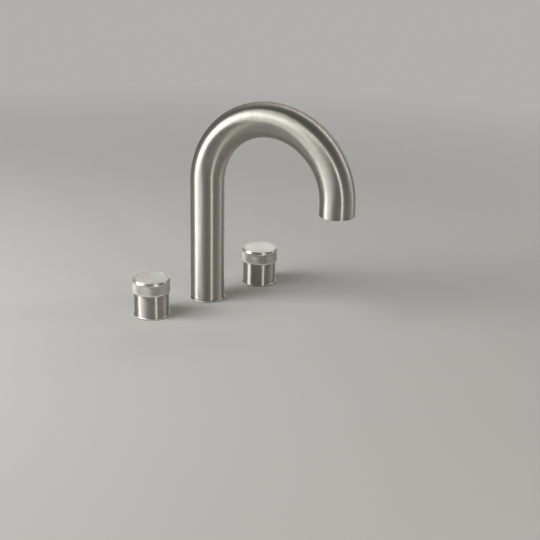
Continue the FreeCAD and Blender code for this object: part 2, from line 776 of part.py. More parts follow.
def build_turning_ring(name, x):
    """Sleeve, bearing, turning ring and circlip of one control."""
    node(turned_ring(f"{name}_sleeve", sleeve_bore, control_radius, ring_top, sleeve_top, x))

    bearing_bottom = sleeve_top - size.ring_bearing_length
    bearing_outer = sleeve_bore - size.fit_gap
    bearing_flange = control_radius - size.ring_bearing_setback
    bearing_top = ring_bottom - size.running_gap
    node(turned(f"{name}_bearing", [
        (bearing_bore, bearing_bottom),
        (bearing_outer, bearing_bottom),
        (bearing_outer, sleeve_top),
        (bearing_flange, sleeve_top),
        (bearing_flange, bearing_top),
        (bearing_bore, bearing_top),
    ], x))

    gap = size.fit_gap
    clip_top = bearing_bottom - size.circlip_play
    clip_bottom = clip_top - size.circlip_height
    groove_floor = skirt_radius - size.circlip_groove
    skirt_end = clip_bottom - gap - size.skirt_lip
    edge = size.ring_edge
    bevel_start = control_top - size.bevel_height
    node(turned(f"{name}_ring", [
        (ring_bore, skirt_end),
        (skirt_radius, skirt_end),
        (skirt_radius, clip_bottom - gap),
        (groove_floor, clip_bottom - gap),
        (groove_floor, clip_top + gap),
        (skirt_radius, clip_top + gap),
        (skirt_radius, ring_bottom),
        (ring_radius - edge, ring_bottom),
        (ring_radius, ring_bottom + edge),
        (ring_radius, bevel_start),
        (ring_radius - size.bevel_width, control_top),
        (recess_radius, control_top),
        (recess_radius, recess_floor),
        (ring_bore, recess_floor),
    ], x))
    clip_inner = groove_floor + gap
    clip_outer = clip_inner + size.circlip_width
    open_angle = as_size(FULL_TURN) - size.circlip_opening
    node(turned_ring(f"{name}_circlip", clip_inner, clip_outer, clip_bottom, clip_top, x, degrees=open_angle))


# Inside of the touch control

def build_touch_control():
    """Touch disc on its spring and guide, over the board with its switch, lights and magnet ring."""
    gap = size.fit_gap
    shank_bore = size.touch_bore / 2
    screw_circle = sleeve_bore - size.inside_gap - size.carrier_screw_head / 2
    screw_places = round_points(screw_circle, 2, first=90)
    thread = size.carrier_screw_thread / 2
    shank = node(turned("touch_shank", shank_foot(control_shank_radius, control_flange, shank_bore) + [
        (shank_bore, flange_top),
    ], touch_x))
    drill(shank, flange_top, thread + gap, screw_places, size.carrier_screw_depth + gap)

    magnet_outer = ring_bore - gap
    magnet_inner = magnet_outer - size.magnet_wall
    magnet_bottom = ring_bottom + size.magnet_rise
    magnet_top = magnet_bottom + size.magnet_height
    node(turned_ring("dial_magnet_ring", magnet_inner, magnet_outer, magnet_bottom, magnet_top, touch_x))

    carrier_radius = magnet_inner - size.magnet_gap
    board_bore = carrier_radius - size.carrier_wall
    well = board_bore - size.board_ledge
    carrier_foot = sleeve_bore - size.inside_gap
    foot_top = flange_top + size.carrier_flange_height
    carrier_top = disc_bottom - size.touch_travel - size.carrier_headroom
    guide_top = disc_bottom - size.spring_length
    guide_bottom = guide_top - size.guide_height
    stem_radius = size.stem_diameter / 2
    guide_bore = stem_radius + size.guide_gap
    head_top = guide_bottom - gap
    head_bottom = head_top - size.stop_head_height
    button_top = head_bottom - size.touch_travel - size.switch_gap
    button_bottom = button_top - size.switch_button_height
    board_top = button_bottom - size.switch_height
    board_bottom = board_top - size.board_thickness
    carrier = node(turned("touch_carrier", [
        (board_bore, flange_top),
        (carrier_foot, flange_top),
        (carrier_foot, foot_top),
        (carrier_radius, foot_top),
        (carrier_radius, carrier_top),
        (well, carrier_top),
        (well, guide_top),
        (guide_bore, guide_top),
        (guide_bore, guide_bottom),
        (well, guide_bottom),
        (well, board_top),
        (board_bore, board_top),
    ], touch_x))
    drill(carrier, foot_top, thread + gap, screw_places, size.carrier_flange_height)
    lamp_places = ((-size.lamp_offset, ZERO), (size.lamp_offset, ZERO))
    lamp_radius = size.lamp_diameter / 2
    drill(carrier, guide_top, lamp_radius, lamp_places, size.guide_height)

    screws = []
    for x, y in screw_places:
        screw = new_body("carrier_screw", touch_x)
        head = sketch_on(screw, "XY_Plane", foot_top)
        draw_circle(head, size.carrier_screw_head / 2, x, y)
        pad(screw, head, size.carrier_screw_head_height)
        stalk = sketch_on(screw, "XY_Plane", foot_top)
        draw_circle(stalk, thread, x, y)
        pad(screw, stalk, size.carrier_flange_height + size.carrier_screw_depth, downwards=True)
        screws.append(screw)
    node(group("carrier_screws", screws))

    node(turned_ring("sensor_board", ZERO, board_bore - gap * 2, board_bottom, board_top, touch_x))
    clip_outer = board_bore - gap
    node(turned_ring("board_clip", clip_outer - size.clip_width, clip_outer,
                     board_bottom - size.clip_height, board_bottom, touch_x))
    switch = node(new_body("push_switch", touch_x))
    square = sketch_on(switch, "XY_Plane", board_top)
    draw_square(square, size.switch_side)
    pad(switch, square, size.switch_height)
    button = sketch_on(switch, "XY_Plane", button_bottom)
    draw_circle(button, size.switch_button_diameter / 2)
    pad(switch, button, size.switch_button_height)

    lights = []
    for x, _ in lamp_places:
        light = doc.addObject("Part::Box", "light")
        light.setExpression("Length", size.led_length.text)
        light.setExpression("Width", size.led_width.text)
        light.setExpression("Height", size.led_height.text)
        light.setExpression("Placement.Base.x", (touch_x + x - size.led_length / 2).text)
        light.setExpression("Placement.Base.y", (-size.led_width / 2).text)
        light.setExpression("Placement.Base.z", board_top.text)
        lights.append(light)
    node(group("lamp_lights", lights))

    spring = node(new_body("touch_spring", touch_x))
    wire_radius = size.spring_wire / 2
    wire = sketch_on(spring, "XZ_Plane")
    draw_circle(wire, wire_radius, size.spring_diameter / 2, guide_top + wire_radius + gap)
    coil = feature_of(spring, "AdditiveHelix", wire)
    coil.ReferenceAxis = (wire, ["V_Axis"])
    coil.Mode = "height-turns-angle"
    coil.setExpression("Height", (size.spring_length - size.spring_wire - gap * 2).text)
    coil.setExpression("Turns", size.spring_turns.text)

    edge = size.disc_edge
    disc_radius = recess_radius - size.disc_gap
    stop_thread = size.stop_shank_diameter / 2
    disc = node(turned("touch_disc", [
        (ZERO, head_top),
        (stem_radius, head_top),
        (stem_radius, disc_bottom),
        (disc_radius, disc_bottom),
        (disc_radius, control_top - edge),
        (disc_radius - edge, control_top),
        (ZERO, control_top),
    ], touch_x))
    drill(disc, head_top, stop_thread + gap, [(ZERO, ZERO)], size.stop_shank_length + gap, upwards=True)
    drill(disc, control_top, lamp_radius, lamp_places, size.disc_thickness)
    for name, (x, _) in zip(("red_lamp", "green_lamp"), lamp_places):
        lamp = node(doc.addObject("Part::Cylinder", name))
        lamp.setExpression("Radius", (lamp_radius - gap).text)
        lamp.setExpression("Height", size.disc_thickness.text)
        lamp.setExpression("Placement.Base.x", (touch_x + x).text)
        lamp.setExpression("Placement.Base.z", disc_bottom.text)
    head_radius = size.stop_head_diameter / 2
    shank_top = head_top + size.stop_shank_length
    node(turned("touch_stop_screw", [
        (ZERO, head_bottom),
        (head_radius, head_bottom),
        (head_radius, head_top),
        (stop_thread, head_top),
        (stop_thread, shank_top),
        (ZERO, shank_top),
    ], touch_x))

    cable = size.grommet_bore / 2
    lip = shank_bore + size.grommet_overlap
    node(turned("cable_grommet", [
        (cable, shank_end - size.grommet_lip),
        (lip, shank_end - size.grommet_lip),
        (lip, shank_end),
        (shank_bore - gap, shank_end),
        (shank_bore - gap, shank_end + size.grommet_plug),
        (cable, shank_end + size.grommet_plug),
    ], touch_x))


# Inside of the mixer control

def build_mixer_control():
    """Valve body, ceramic cartridge and gland nut, with the hub that ties the ring to the stem."""
    gap = size.fit_gap
    gland_outer = sleeve_bore - size.inside_gap
    barrel = gland_outer - size.gland_wall - gap
    chamber = barrel - size.barrel_wall
    floor = -size.chamber_floor
    seal_top = floor + size.cartridge_seal_height
    fixed_top = seal_top + size.ceramic_height
    moving_top = fixed_top + size.ceramic_height
    plate_top = moving_top + size.plate_height
    cavity_top = plate_top + size.plate_gap
    shoulder = cavity_top + size.cartridge_roof
    barrel_top = shoulder - size.barrel_setback
    cartridge_outer = chamber - gap
    cavity = cartridge_outer - size.cartridge_wall
    ceramic = cavity - size.ceramic_gap
    port = size.port_bore / 2
    port_places = round_points(ceramic - size.port_margin - port, 3, first=30)

    body = node(turned("mixer_valve_body", shank_foot(control_shank_radius, control_flange, ZERO) + [
        (barrel, flange_top),
        (barrel, barrel_top),
        (chamber, barrel_top),
        (chamber, floor),
        (ZERO, floor),
    ], mixer_x))
    drill(body, shank_end, size.port_thread_bore / 2, port_places, size.port_depth, upwards=True)
    drill(body, shank_end, port, port_places, size.shank_length - size.chamber_floor, upwards=True)

    seal = node(turned_ring("cartridge_seal", ZERO, chamber - size.ceramic_gap, floor, seal_top, mixer_x))
    drill(seal, seal_top, port, port_places)
    fixed = node(turned_ring("fixed_ceramic_disc", ZERO, ceramic, seal_top, fixed_top, mixer_x))
    drill(fixed, fixed_top, port, port_places)
    moving = node(turned_ring("moving_ceramic_disc", ZERO, ceramic, fixed_top, moving_top, mixer_x))
    pocket_inner = ceramic - size.port_margin - size.port_bore
    groove(moving, "YZ_Plane", [
        (pocket_inner, fixed_top),
        (ceramic - size.port_margin, fixed_top),
        (ceramic - size.port_margin, fixed_top + size.pocket_depth),
        (pocket_inner, fixed_top + size.pocket_depth),
    ], size.pocket_angle)
    lug = size.lug_diameter / 2
    lug_places = round_points(ceramic - size.port_margin - lug, 2)
    lug_seat = size.lug_length + size.ceramic_gap
    lug_hole = lug + size.ceramic_gap
    drill(moving, moving_top, lug_hole, lug_places, lug_seat)

    shaft = size.stem_shaft / 2
    shaft_bore = shaft + size.running_gap
    neck = size.cartridge_neck / 2
    neck_top = shoulder + size.cartridge_neck_height
    node(turned("cartridge_housing", [
        (cavity, seal_top),
        (cartridge_outer, seal_top),
        (cartridge_outer, shoulder),
        (neck, shoulder),
        (neck, neck_top),
        (shaft_bore, neck_top),
        (shaft_bore, cavity_top),
        (cavity, cavity_top),
    ], mixer_x))

    gland_top = shoulder + size.gland_lip
    gland = node(turned("gland_nut", [
        (barrel + gap, shoulder - size.gland_skirt),
        (gland_outer, shoulder - size.gland_skirt),
        (gland_outer, gland_top),
        (neck + gap, gland_top),
        (neck + gap, shoulder),
        (barrel + gap, shoulder),
    ], mixer_x))
    slot = sketch_on(gland, "XY_Plane", gland_top)
    half_slot = size.gland_slot / 2
    slot_inner = gland_outer - size.gland_wall
    slot_outer = gland_outer + size.inside_gap
    draw_outline(slot, [
        (slot_inner, -half_slot),
        (slot_outer, -half_slot),
        (slot_outer, half_slot),
        (slot_inner, half_slot),
    ])
    repeat_round(gland, pocket(gland, slot, size.gland_slot_depth), 4)

    ring_floor = shaft - size.stem_ring_depth
    ring_middle = shoulder - size.stem_ring_drop
    ring_half = (shaft_bore - ring_floor) / 2 + size.ceramic_gap
    hub_top = recess_floor + size.hub_flange
    hub_bottom = recess_floor - size.hub_height
    drive_bottom = neck_top + size.plate_gap
    drive_top = drive_bottom + size.stem_drive_length
    web_bottom = drive_top + size.hub_screw_play
    web_top = web_bottom + size.hub_web
    plate = cavity - size.plate_gap
    stem = node(turned("cartridge_stem", [
        (ZERO, moving_top),
        (plate, moving_top),
        (plate, plate_top),
        (shaft, plate_top),
        (shaft, ring_middle - ring_half),
        (ring_floor, ring_middle - ring_half),
        (ring_floor, ring_middle + ring_half),
        (shaft, ring_middle + ring_half),
        (shaft, drive_bottom),
        (ZERO, drive_bottom),
    ], mixer_x))
    square = sketch_on(stem, "XY_Plane", drive_bottom)
    draw_square(square, size.stem_drive)
    pad(stem, square, size.stem_drive_length)
    lugs = sketch_on(stem, "XY_Plane", moving_top)
    for x, y in lug_places:
        draw_circle(lugs, lug, x, y)
    pad(stem, lugs, size.lug_length, downwards=True)
    screw_thread = size.hub_screw_thread / 2
    drill(stem, drive_top, screw_thread + gap, [(ZERO, ZERO)], size.hub_screw_length)
    node(o_ring("stem_o_ring", ring_floor, shaft_bore, ring_middle, mixer_x))

    screw_head = size.hub_screw_head / 2
    head_seat = screw_head + size.hub_screw_play
    screw_hole = screw_thread + gap
    hub = node(turned("mixer_hub", [
        (screw_hole, hub_bottom),
        (ring_bore - gap, hub_bottom),
        (ring_bore - gap, recess_floor),
        (recess_radius - size.disc_gap, recess_floor),
        (recess_radius - size.disc_gap, hub_top),
        (head_seat, hub_top),
        (head_seat, web_top),
        (screw_hole, web_top),
    ], mixer_x))
    socket = sketch_on(hub, "XY_Plane", web_bottom)
    draw_square(socket, size.stem_drive + gap * 2)
    pocket(hub, socket, web_bottom - hub_bottom)
    head_top = web_top + size.hub_screw_head_height
    screw_end = web_top - size.hub_screw_length
    node(turned("hub_screw", [
        (ZERO, screw_end),
        (screw_thread, screw_end),
        (screw_thread, web_top),
        (screw_head, web_top),
        (screw_head, head_top),
        (ZERO, head_top),
    ], mixer_x))

    edge = size.disc_edge
    disc_radius = recess_radius - size.disc_gap
    spigot_radius = head_seat - gap
    node(turned("mixer_disc", [
        (ZERO, disc_bottom - size.disc_spigot),
        (spigot_radius, disc_bottom - size.disc_spigot),
        (spigot_radius, disc_bottom),
        (disc_radius, disc_bottom),
        (disc_radius, control_top - edge),
        (disc_radius - edge, control_top),
        (ZERO, control_top),
    ], mixer_x))


build_feet()
build_clamps()
build_spout_tube()
build_swivel()
build_water_ways()
build_outlet()
build_turning_ring("touch", touch_x)
build_turning_ring("mixer", mixer_x)
build_touch_control()
build_mixer_control()
doc.recompute()

for thing in doc.Objects:
    if {"Invalid", "Error"} & set(thing.State):
        raise RuntimeError(f"{thing.Label} did not compute: {thing.State}")
for piece in nodes:
    if piece.Shape.isNull() or not piece.Shape.isValid() or not piece.Shape.Solids:
        raise RuntimeError(f"{piece.Label} has no sound solid")

os.makedirs("parts", exist_ok=True)
for piece in nodes:
    piece.Shape.exportStep(f"parts/{piece.Label}.step")
print(f"{len(nodes)} pieces written")
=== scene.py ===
"""Deck-mounted touch tap in three pieces: detail meshes, finishes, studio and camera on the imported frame."""

import logging
import math
from abc import ABC, abstractmethod
from dataclasses import dataclass
from enum import Enum
from functools import cache
from typing import ClassVar, Iterable, Sequence

import bmesh
import bpy
from mathutils import Matrix, Vector


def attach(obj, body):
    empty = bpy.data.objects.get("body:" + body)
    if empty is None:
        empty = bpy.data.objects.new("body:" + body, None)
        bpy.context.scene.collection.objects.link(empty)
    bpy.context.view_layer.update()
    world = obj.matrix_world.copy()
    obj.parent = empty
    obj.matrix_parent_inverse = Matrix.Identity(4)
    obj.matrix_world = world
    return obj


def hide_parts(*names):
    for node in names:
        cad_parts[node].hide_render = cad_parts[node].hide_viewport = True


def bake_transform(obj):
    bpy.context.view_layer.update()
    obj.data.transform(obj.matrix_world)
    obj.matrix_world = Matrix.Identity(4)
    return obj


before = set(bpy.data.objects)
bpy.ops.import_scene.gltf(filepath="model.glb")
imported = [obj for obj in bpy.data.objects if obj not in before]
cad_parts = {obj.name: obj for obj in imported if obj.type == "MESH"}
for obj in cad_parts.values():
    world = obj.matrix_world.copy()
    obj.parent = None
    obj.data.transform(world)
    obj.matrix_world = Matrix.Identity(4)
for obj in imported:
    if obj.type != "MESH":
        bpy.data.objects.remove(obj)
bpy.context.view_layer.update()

LOG = logging.getLogger("touch_tap")
MM = 0.001
TINY = 0.001 * MM
ORIGIN = (0.0, 0.0, 0.0)
UPRIGHT = (0.0, 0.0, 1.0)
WHITE = (1.0, 1.0, 1.0)
LAY = "lay"
GROOVE = "groove"

Triple = tuple[float, float, float]
Colour = Triple
Span = tuple[float, float]
Outline = Sequence[Span]
Socket = bpy.types.NodeSocket
Inputs = dict[str | int, object]
Corner = bmesh.types.BMVert
Edge = bmesh.types.BMEdge

# Nearly all of a noise lies between these two values.
MIDDLE: Span = (0.3, 0.7)


class Rider(Enum):
    """Rigid bodies of the frame that a piece can move with."""

    DECK = "deck_fixed"
    SPOUT = "spout"
    DIAL = "touch_dial"
    BUTTON = "touch_button"
    KNOB = "mixer_knob"


def corners_of(made: Iterable[object]) -> list[Corner]:
    """Picks the corners out of what an operator made."""
    return [item for item in made if isinstance(item, Corner)]


def edges_of(made: Iterable[object]) -> list[Edge]:
    """Picks the edges out of what an operator made."""
    return [item for item in made if isinstance(item, Edge)]


def shaded(colour: Colour, share: float) -> Colour:
    """Multiplies a colour by a share, but makes it no brighter than white."""
    red, green, blue = (min(channel * share, 1.0) for channel in colour)
    return red, green, blue


def wire(node: bpy.types.Node, inputs: Inputs) -> None:
    """Links or sets inputs of a node.

    Args:
        node: the node.
        inputs: an output or a constant for each input, by its name or number.
    """
    for key, value in inputs.items():
        if isinstance(value, Socket):
            node.id_data.links.new(value, node.inputs[key])
        else:
            node.inputs[key].default_value = value


def add_object(data: bpy.types.ID) -> bpy.types.Object:
    """Adds a mesh, light or camera to the scene under its own name."""
    bpy.context.scene.collection.objects.link(made := bpy.data.objects.new(data.name, data))
    return made


class Graph:
    """Node tree of a material or a world, built round its shader."""

    def __init__(self, owner: bpy.types.ID, shader: str = "Principled BSDF") -> None:
        """Starts the tree.

        Args:
            owner: the material or world.
            shader: name of the shader that it starts with.
        """
        owner.use_nodes = True
        self.tree = owner.node_tree
        self.shader = self.tree.nodes[shader]

    def node(self, kind: str, inputs: Inputs | None = None, **settings: object) -> bpy.types.Node:
        """Adds a node.

        Args:
            kind: the node's type, without its common prefix.
            inputs: its inputs, as for wire.
            **settings: its properties.

        Returns:
            The new node.
        """
        made = self.tree.nodes.new(f"ShaderNode{kind}")
        for name, value in settings.items():
            setattr(made, name, value)
        wire(made, inputs or {})
        return made

    def place(self) -> Socket:
        """Gives the surface's place in the frame."""
        return self.node("TexCoord").outputs["Object"]

    def noise(self, cells: float | Triple, detail: float = 2.0, lay: bool = False) -> Socket:
        """Fractal noise over the surface.

        Args:
            cells: cells per metre, or as many along each axis.
            detail: octaves.
            lay: whether it follows the piece's own unwrapping instead of its place in the frame.

        Returns:
            The noise's value, from 0 to 1.
        """
        source = self.node("UVMap", uv_map=LAY).outputs["UV"] if lay else self.place()
        scale = (cells,) * 3 if isinstance(cells, float) else cells
        spot = self.node("Mapping", {"Vector": source, "Scale": scale}).outputs["Vector"]
        return self.node("TexNoise", {"Vector": spot, "Scale": 1.0, "Detail": detail}).outputs["Fac"]

    def ramp(self, factor: Socket, low: Colour, high: Colour, reach: Span = MIDDLE) -> Socket:
        """Blends two colours.

        Args:
            factor: what is read.
            low: colour at and below the start of the reach.
            high: colour at and above its end.
            reach: factors between which the colours blend.

        Returns:
            The colour output.
        """
        made = self.node("ValToRGB", {"Fac": factor})
        for element, position, colour in zip(made.color_ramp.elements, reach, (low, high)):
            element.position = position
            element.color = (*colour, 1.0)
        return made.outputs["Color"]

    def span(self, factor: Socket, values: Span, reach: Span = MIDDLE) -> Socket:
        """Maps a factor to the values that its reach stands for."""
        names = ("Value", "From Min", "From Max", "To Min", "To Max")
        return self.node("MapRange", dict(zip(names, (factor, *reach, *values)))).outputs["Result"]


@dataclass(frozen=True)
class Finish(ABC):
    """A surface finish; its material is made once and shared.

    The tones are what the tint is multiplied by at the two ends of a pattern, and the gloss is what is
    added to the roughness there. The reaches are the pattern's values at those ends. The relief is in
    metres, and its share is how much of it shows.
    """

    name: str
    tint: Colour
    roughness: float = 0.3
    metallic: float = 0.0
    shine: float = 0.5
    tones: Span = (0.9, 1.1)
    tone_reach: Span = MIDDLE
    gloss: Span = (0.0, 0.1)
    gloss_reach: Span = MIDDLE
    relief: float = 0.02 * MM
    relief_share: float = 0.5

    @cache
    def material(self) -> bpy.types.Material:
        """Gives the finish's material.

        Returns:
            The material, made at the first call.
        """
        made = bpy.data.materials.new(self.name)
        self.dress(Graph(made))
        return made

    @abstractmethod
    def dress(self, graph: Graph) -> None:
        """Builds the nodes of the finish in a graph."""

    def tone(self, graph: Graph, pattern: Socket) -> Socket:
        """Blends the finish's two tones along a pattern."""
        low, high = (shaded(self.tint, share) for share in self.tones)
        return graph.ramp(pattern, low, high, self.tone_reach)

    def coat(self, graph: Graph, colour: Socket, pattern: Socket, height: Socket | None = None) -> None:
        """Feeds the shader.

        Args:
            graph: nodes of the material.
            colour: the base colour.
            pattern: pattern of the gloss.
            height: height of the relief, if there is one.
        """
        low, high = (self.roughness + change for change in self.gloss)
        roughness = graph.span(pattern, (low, high), self.gloss_reach)
        wire(graph.shader, {"Base Color": colour, "Roughness": roughness})
        wire(graph.shader, {"Metallic": self.metallic, "Specular IOR Level": self.shine})
        if height is not None:
            relief = {"Height": height, "Distance": self.relief, "Strength": self.relief_share}
            wire(graph.shader, {"Normal": graph.node("Bump", relief).outputs["Normal"]})


@dataclass(frozen=True)
class BrushedSteel(Finish):
    """Stainless steel brushed round the piece, so that light draws out along it."""

    roughness: float = 0.46
    metallic: float = 1.0
    tones: Span = (0.9, 1.08)
    gloss: Span = (0.045, -0.045)
    relief: float = 0.006 * MM
    relief_share: float = 0.7
    anisotropy: float = 1.0
    line: float = 0.3 * MM
    run: float = 30.0 * MM
    slow_lines: float = 14.0
    slow_runs: float = 3.0
    slow_share: float = 0.25

    def dress(self, graph: Graph) -> None:
        """Builds fine lines across the lay, over slow changes of tone.

        Args:
            graph: nodes of the material.
        """
        lines = graph.noise((1 / self.line, 1 / self.run, 1.0), detail=3.0, lay=True)
        slow_cells = (1 / (self.line * self.slow_lines), 1 / (self.run * self.slow_runs), 1.0)
        slow = graph.noise(slow_cells, detail=1.0, lay=True)
        both = graph.node("Mix", {"Factor": self.slow_share, "A": lines, "B": slow}).outputs["Result"]
        self.coat(graph, self.tone(graph, both), both, lines)
        tangent = graph.node("Tangent", direction_type="UV_MAP", uv_map=LAY).outputs["Tangent"]
        wire(graph.shader, {"Anisotropic": self.anisotropy, "Tangent": tangent})


@dataclass(frozen=True)
class PolishedSteel(Finish):
    """Steel polished bright, with faint wiping marks in tone and gloss."""

    roughness: float = 0.26
    metallic: float = 1.0
    tones: Span = (0.93, 1.05)
    wipe: Triple = (90.0, 90.0, 400.0)

    def dress(self, graph: Graph) -> None:
        """Builds the wiping marks."""
        marks = graph.noise(self.wipe, detail=4.0)
        self.coat(graph, self.tone(graph, marks), marks)


@dataclass(frozen=True)
class KnurledSteel(Finish):
    """Steel with a pressed cross pattern: bright points, and grooves that are rougher and painted darker as
    shade.
    """

    roughness: float = 0.5
    metallic: float = 1.0
    # Tones at the points and in the grooves; the darker groove tone is painted shade.
    tones: Span = (1.08, 0.62)
    tone_reach: Span = (0.1, 1.0)
    gloss: Span = (-0.06, 0.14)
    gloss_reach: Span = (0.0, 1.2)
    relief: float = 0.01 * MM
    relief_share: float = 0.4
    grain: float = 2500.0
    grain_share: float = 0.25

    def dress(self, graph: Graph) -> None:
        """Builds painted shade that darkens the grooves against the points, with rougher grooves and a fine
        grain.

        Args:
            graph: nodes of the material.
        """
        groove = graph.node("Attribute", attribute_name=GROOVE).outputs["Fac"]
        grain = graph.noise(self.grain)
        both = graph.node("Math", {0: grain, 1: self.grain_share, 2: groove}, operation="MULTIPLY_ADD")
        depth = both.outputs["Value"]
        # The grooves' darker colour is painted shade; their extra roughness is real.
        self.coat(graph, self.tone(graph, depth), depth, grain)


@dataclass(frozen=True)
class MachinedMetal(Finish):
    """Turned or plated metal under the deck and inside, with tool marks and a dull film."""

    metallic: float = 1.0
    tones: Span = (0.82, 1.04)
    gloss: Span = (0.12, -0.05)
    tool: Triple = (60.0, 60.0, 1 / (0.35 * MM))
    tool_tone: float = 0.88
    film: float = 140.0

    def dress(self, graph: Graph) -> None:
        """Builds level tool marks and patches of film.

        Args:
            graph: nodes of the material.
        """
        tool = graph.noise(self.tool)
        film = graph.noise(self.film, detail=4.0)
        marks = graph.ramp(tool, (self.tool_tone,) * 3, WHITE)
        tones = {"Factor": 1.0, "A": self.tone(graph, film), "B": marks}
        both = graph.node("Mix", tones, data_type="RGBA", blend_type="MULTIPLY")
        self.coat(graph, both.outputs["Result"], film, tool)


@dataclass(frozen=True)
class MouldedPlastic(Finish):
    """Moulded or drawn plastic with a fine skin."""

    roughness: float = 0.42
    gloss: Span = (-0.06, 0.08)
    grain: float = 1800.0
    flow: Triple = (60.0, 60.0, 90.0)

    def dress(self, graph: Graph) -> None:
        """Builds flow tone in the colour and a fine grain in gloss and relief."""
        skin = graph.noise(self.grain)
        self.coat(graph, self.tone(graph, graph.noise(self.flow, detail=3.0)), skin, skin)


@dataclass(frozen=True)
class MouldedRubber(Finish):
    """Black rubber with a talc bloom."""

    roughness: float = 0.72
    shine: float = 0.35
    tones: Span = (1.0, 2.2)
    tone_reach: Span = (0.42, 0.8)
    gloss: Span = (-0.08, 0.12)
    relief: float = 0.03 * MM
    relief_share: float = 0.6
    bloom: float = 110.0
    skin: float = 1400.0

    def dress(self, graph: Graph) -> None:
        """Builds the bloom in patches and a matt skin."""
        bloom = graph.noise(self.bloom, detail=5.0)
        self.coat(graph, self.tone(graph, bloom), bloom, graph.noise(self.skin))


@dataclass(frozen=True)
class GroundCeramic(Finish):
    """Lapped ceramic, nearly white, with a fine speckle."""

    roughness: float = 0.14
    tones: Span = (0.9, 1.03)
    tone_reach: Span = (0.35, 0.55)
    relief: float = 0.004 * MM
    relief_share: float = 0.3
    speckle: float = 2600.0
    lapping: float = 300.0

    def dress(self, graph: Graph) -> None:
        """Builds the speckle and the lapped gloss."""
        speckle = graph.noise(self.speckle, detail=3.0)
        self.coat(graph, self.tone(graph, speckle), graph.noise(self.lapping), speckle)


@dataclass(frozen=True)
class BondedMagnet(Finish):
    """Dark bonded magnet with coarse metallic grain."""

    roughness: float = 0.35
    metallic: float = 0.35
    tones: Span = (2.0, 0.8)
    tone_reach: Span = (0.1, 0.6)
    gloss: Span = (0.0, 0.3)
    gloss_reach: Span = (0.1, 0.6)
    relief_share: float = 0.4
    grain: float = 3200.0

    def dress(self, graph: Graph) -> None:
        """Builds grains that glint in a dull binder."""
        grain = graph.node("TexVoronoi", {"Vector": graph.place(), "Scale": self.grain}).outputs["Distance"]
        self.coat(graph, self.tone(graph, grain), grain, grain)


@dataclass(frozen=True)
class PrintedBoard(Finish):
    """Circuit board with tracks under its lacquer."""

    roughness: float = 0.25
    gloss: Span = (0.0, 0.15)
    relief: float = 0.03 * MM
    lacquer: float = 500.0

    LANES: ClassVar[dict[str, float]] = {
        "Scale": 260.0, "Mortar Size": 0.02, "Brick Width": 0.9, "Row Height": 0.22
    }
    SHADES: ClassVar[dict[str, float]] = {"Color1": 0.9, "Color2": 1.15, "Mortar": 2.0}

    def dress(self, graph: Graph) -> None:
        """Builds the tracks as a grid of lanes, raised a little under the lacquer.

        Args:
            graph: nodes of the material.
        """
        shades = {name: (*shaded(self.tint, share), 1.0) for name, share in self.SHADES.items()}
        lanes = graph.node("TexBrick", {"Vector": graph.place(), **self.LANES, **shades})
        self.coat(graph, lanes.outputs["Color"], graph.noise(self.lacquer), lanes.outputs["Fac"])


@dataclass(frozen=True)
class TintedLens(Finish):
    """Clear-coloured lamp lens with a soft glow from the light below it."""

    roughness: float = 0.12
    tones: Span = (0.8, 1.2)
    cloud: float = 700.0
    glow: float = 0.25
    varnish: float = 0.5
    varnish_roughness: float = 0.05

    def dress(self, graph: Graph) -> None:
        """Builds a cloudy tone that also glows, under a hard gloss.

        Args:
            graph: nodes of the material.
        """
        cloud = graph.noise(self.cloud)
        colour = self.tone(graph, cloud)
        self.coat(graph, colour, cloud)
        wire(graph.shader, {"Emission Color": colour, "Emission Strength": self.glow})
        wire(graph.shader, {"Coat Weight": self.varnish, "Coat Roughness": self.varnish_roughness})


class Finishes:
    """Finishes of the detail meshes, and of the steel below them."""

    # Tube and sleeves are tinted darker than bare stainless steel: painted shade for dark surroundings seen in
    # the metal.
    TUBE = BrushedSteel("tube_brushed_steel", (0.48, 0.467, 0.427))
    SLEEVE = BrushedSteel("sleeve_brushed_steel", (0.48, 0.467, 0.427), roughness=0.43)
    DISC = BrushedSteel(
        "disc_satin_steel", (0.78, 0.765, 0.73), roughness=0.47, anisotropy=0.3, line=0.2 * MM
    )
    # Polished edges and knurled grip are tinted darker too: painted shade for a dark reflection.
    POLISHED = PolishedSteel("edge_polished_steel", (0.56, 0.55, 0.52))
    KNURL = KnurledSteel("grip_knurled_steel", (0.68, 0.666, 0.626))
    STEEL = MachinedMetal("turned_steel", (0.62, 0.61, 0.58), roughness=0.26)


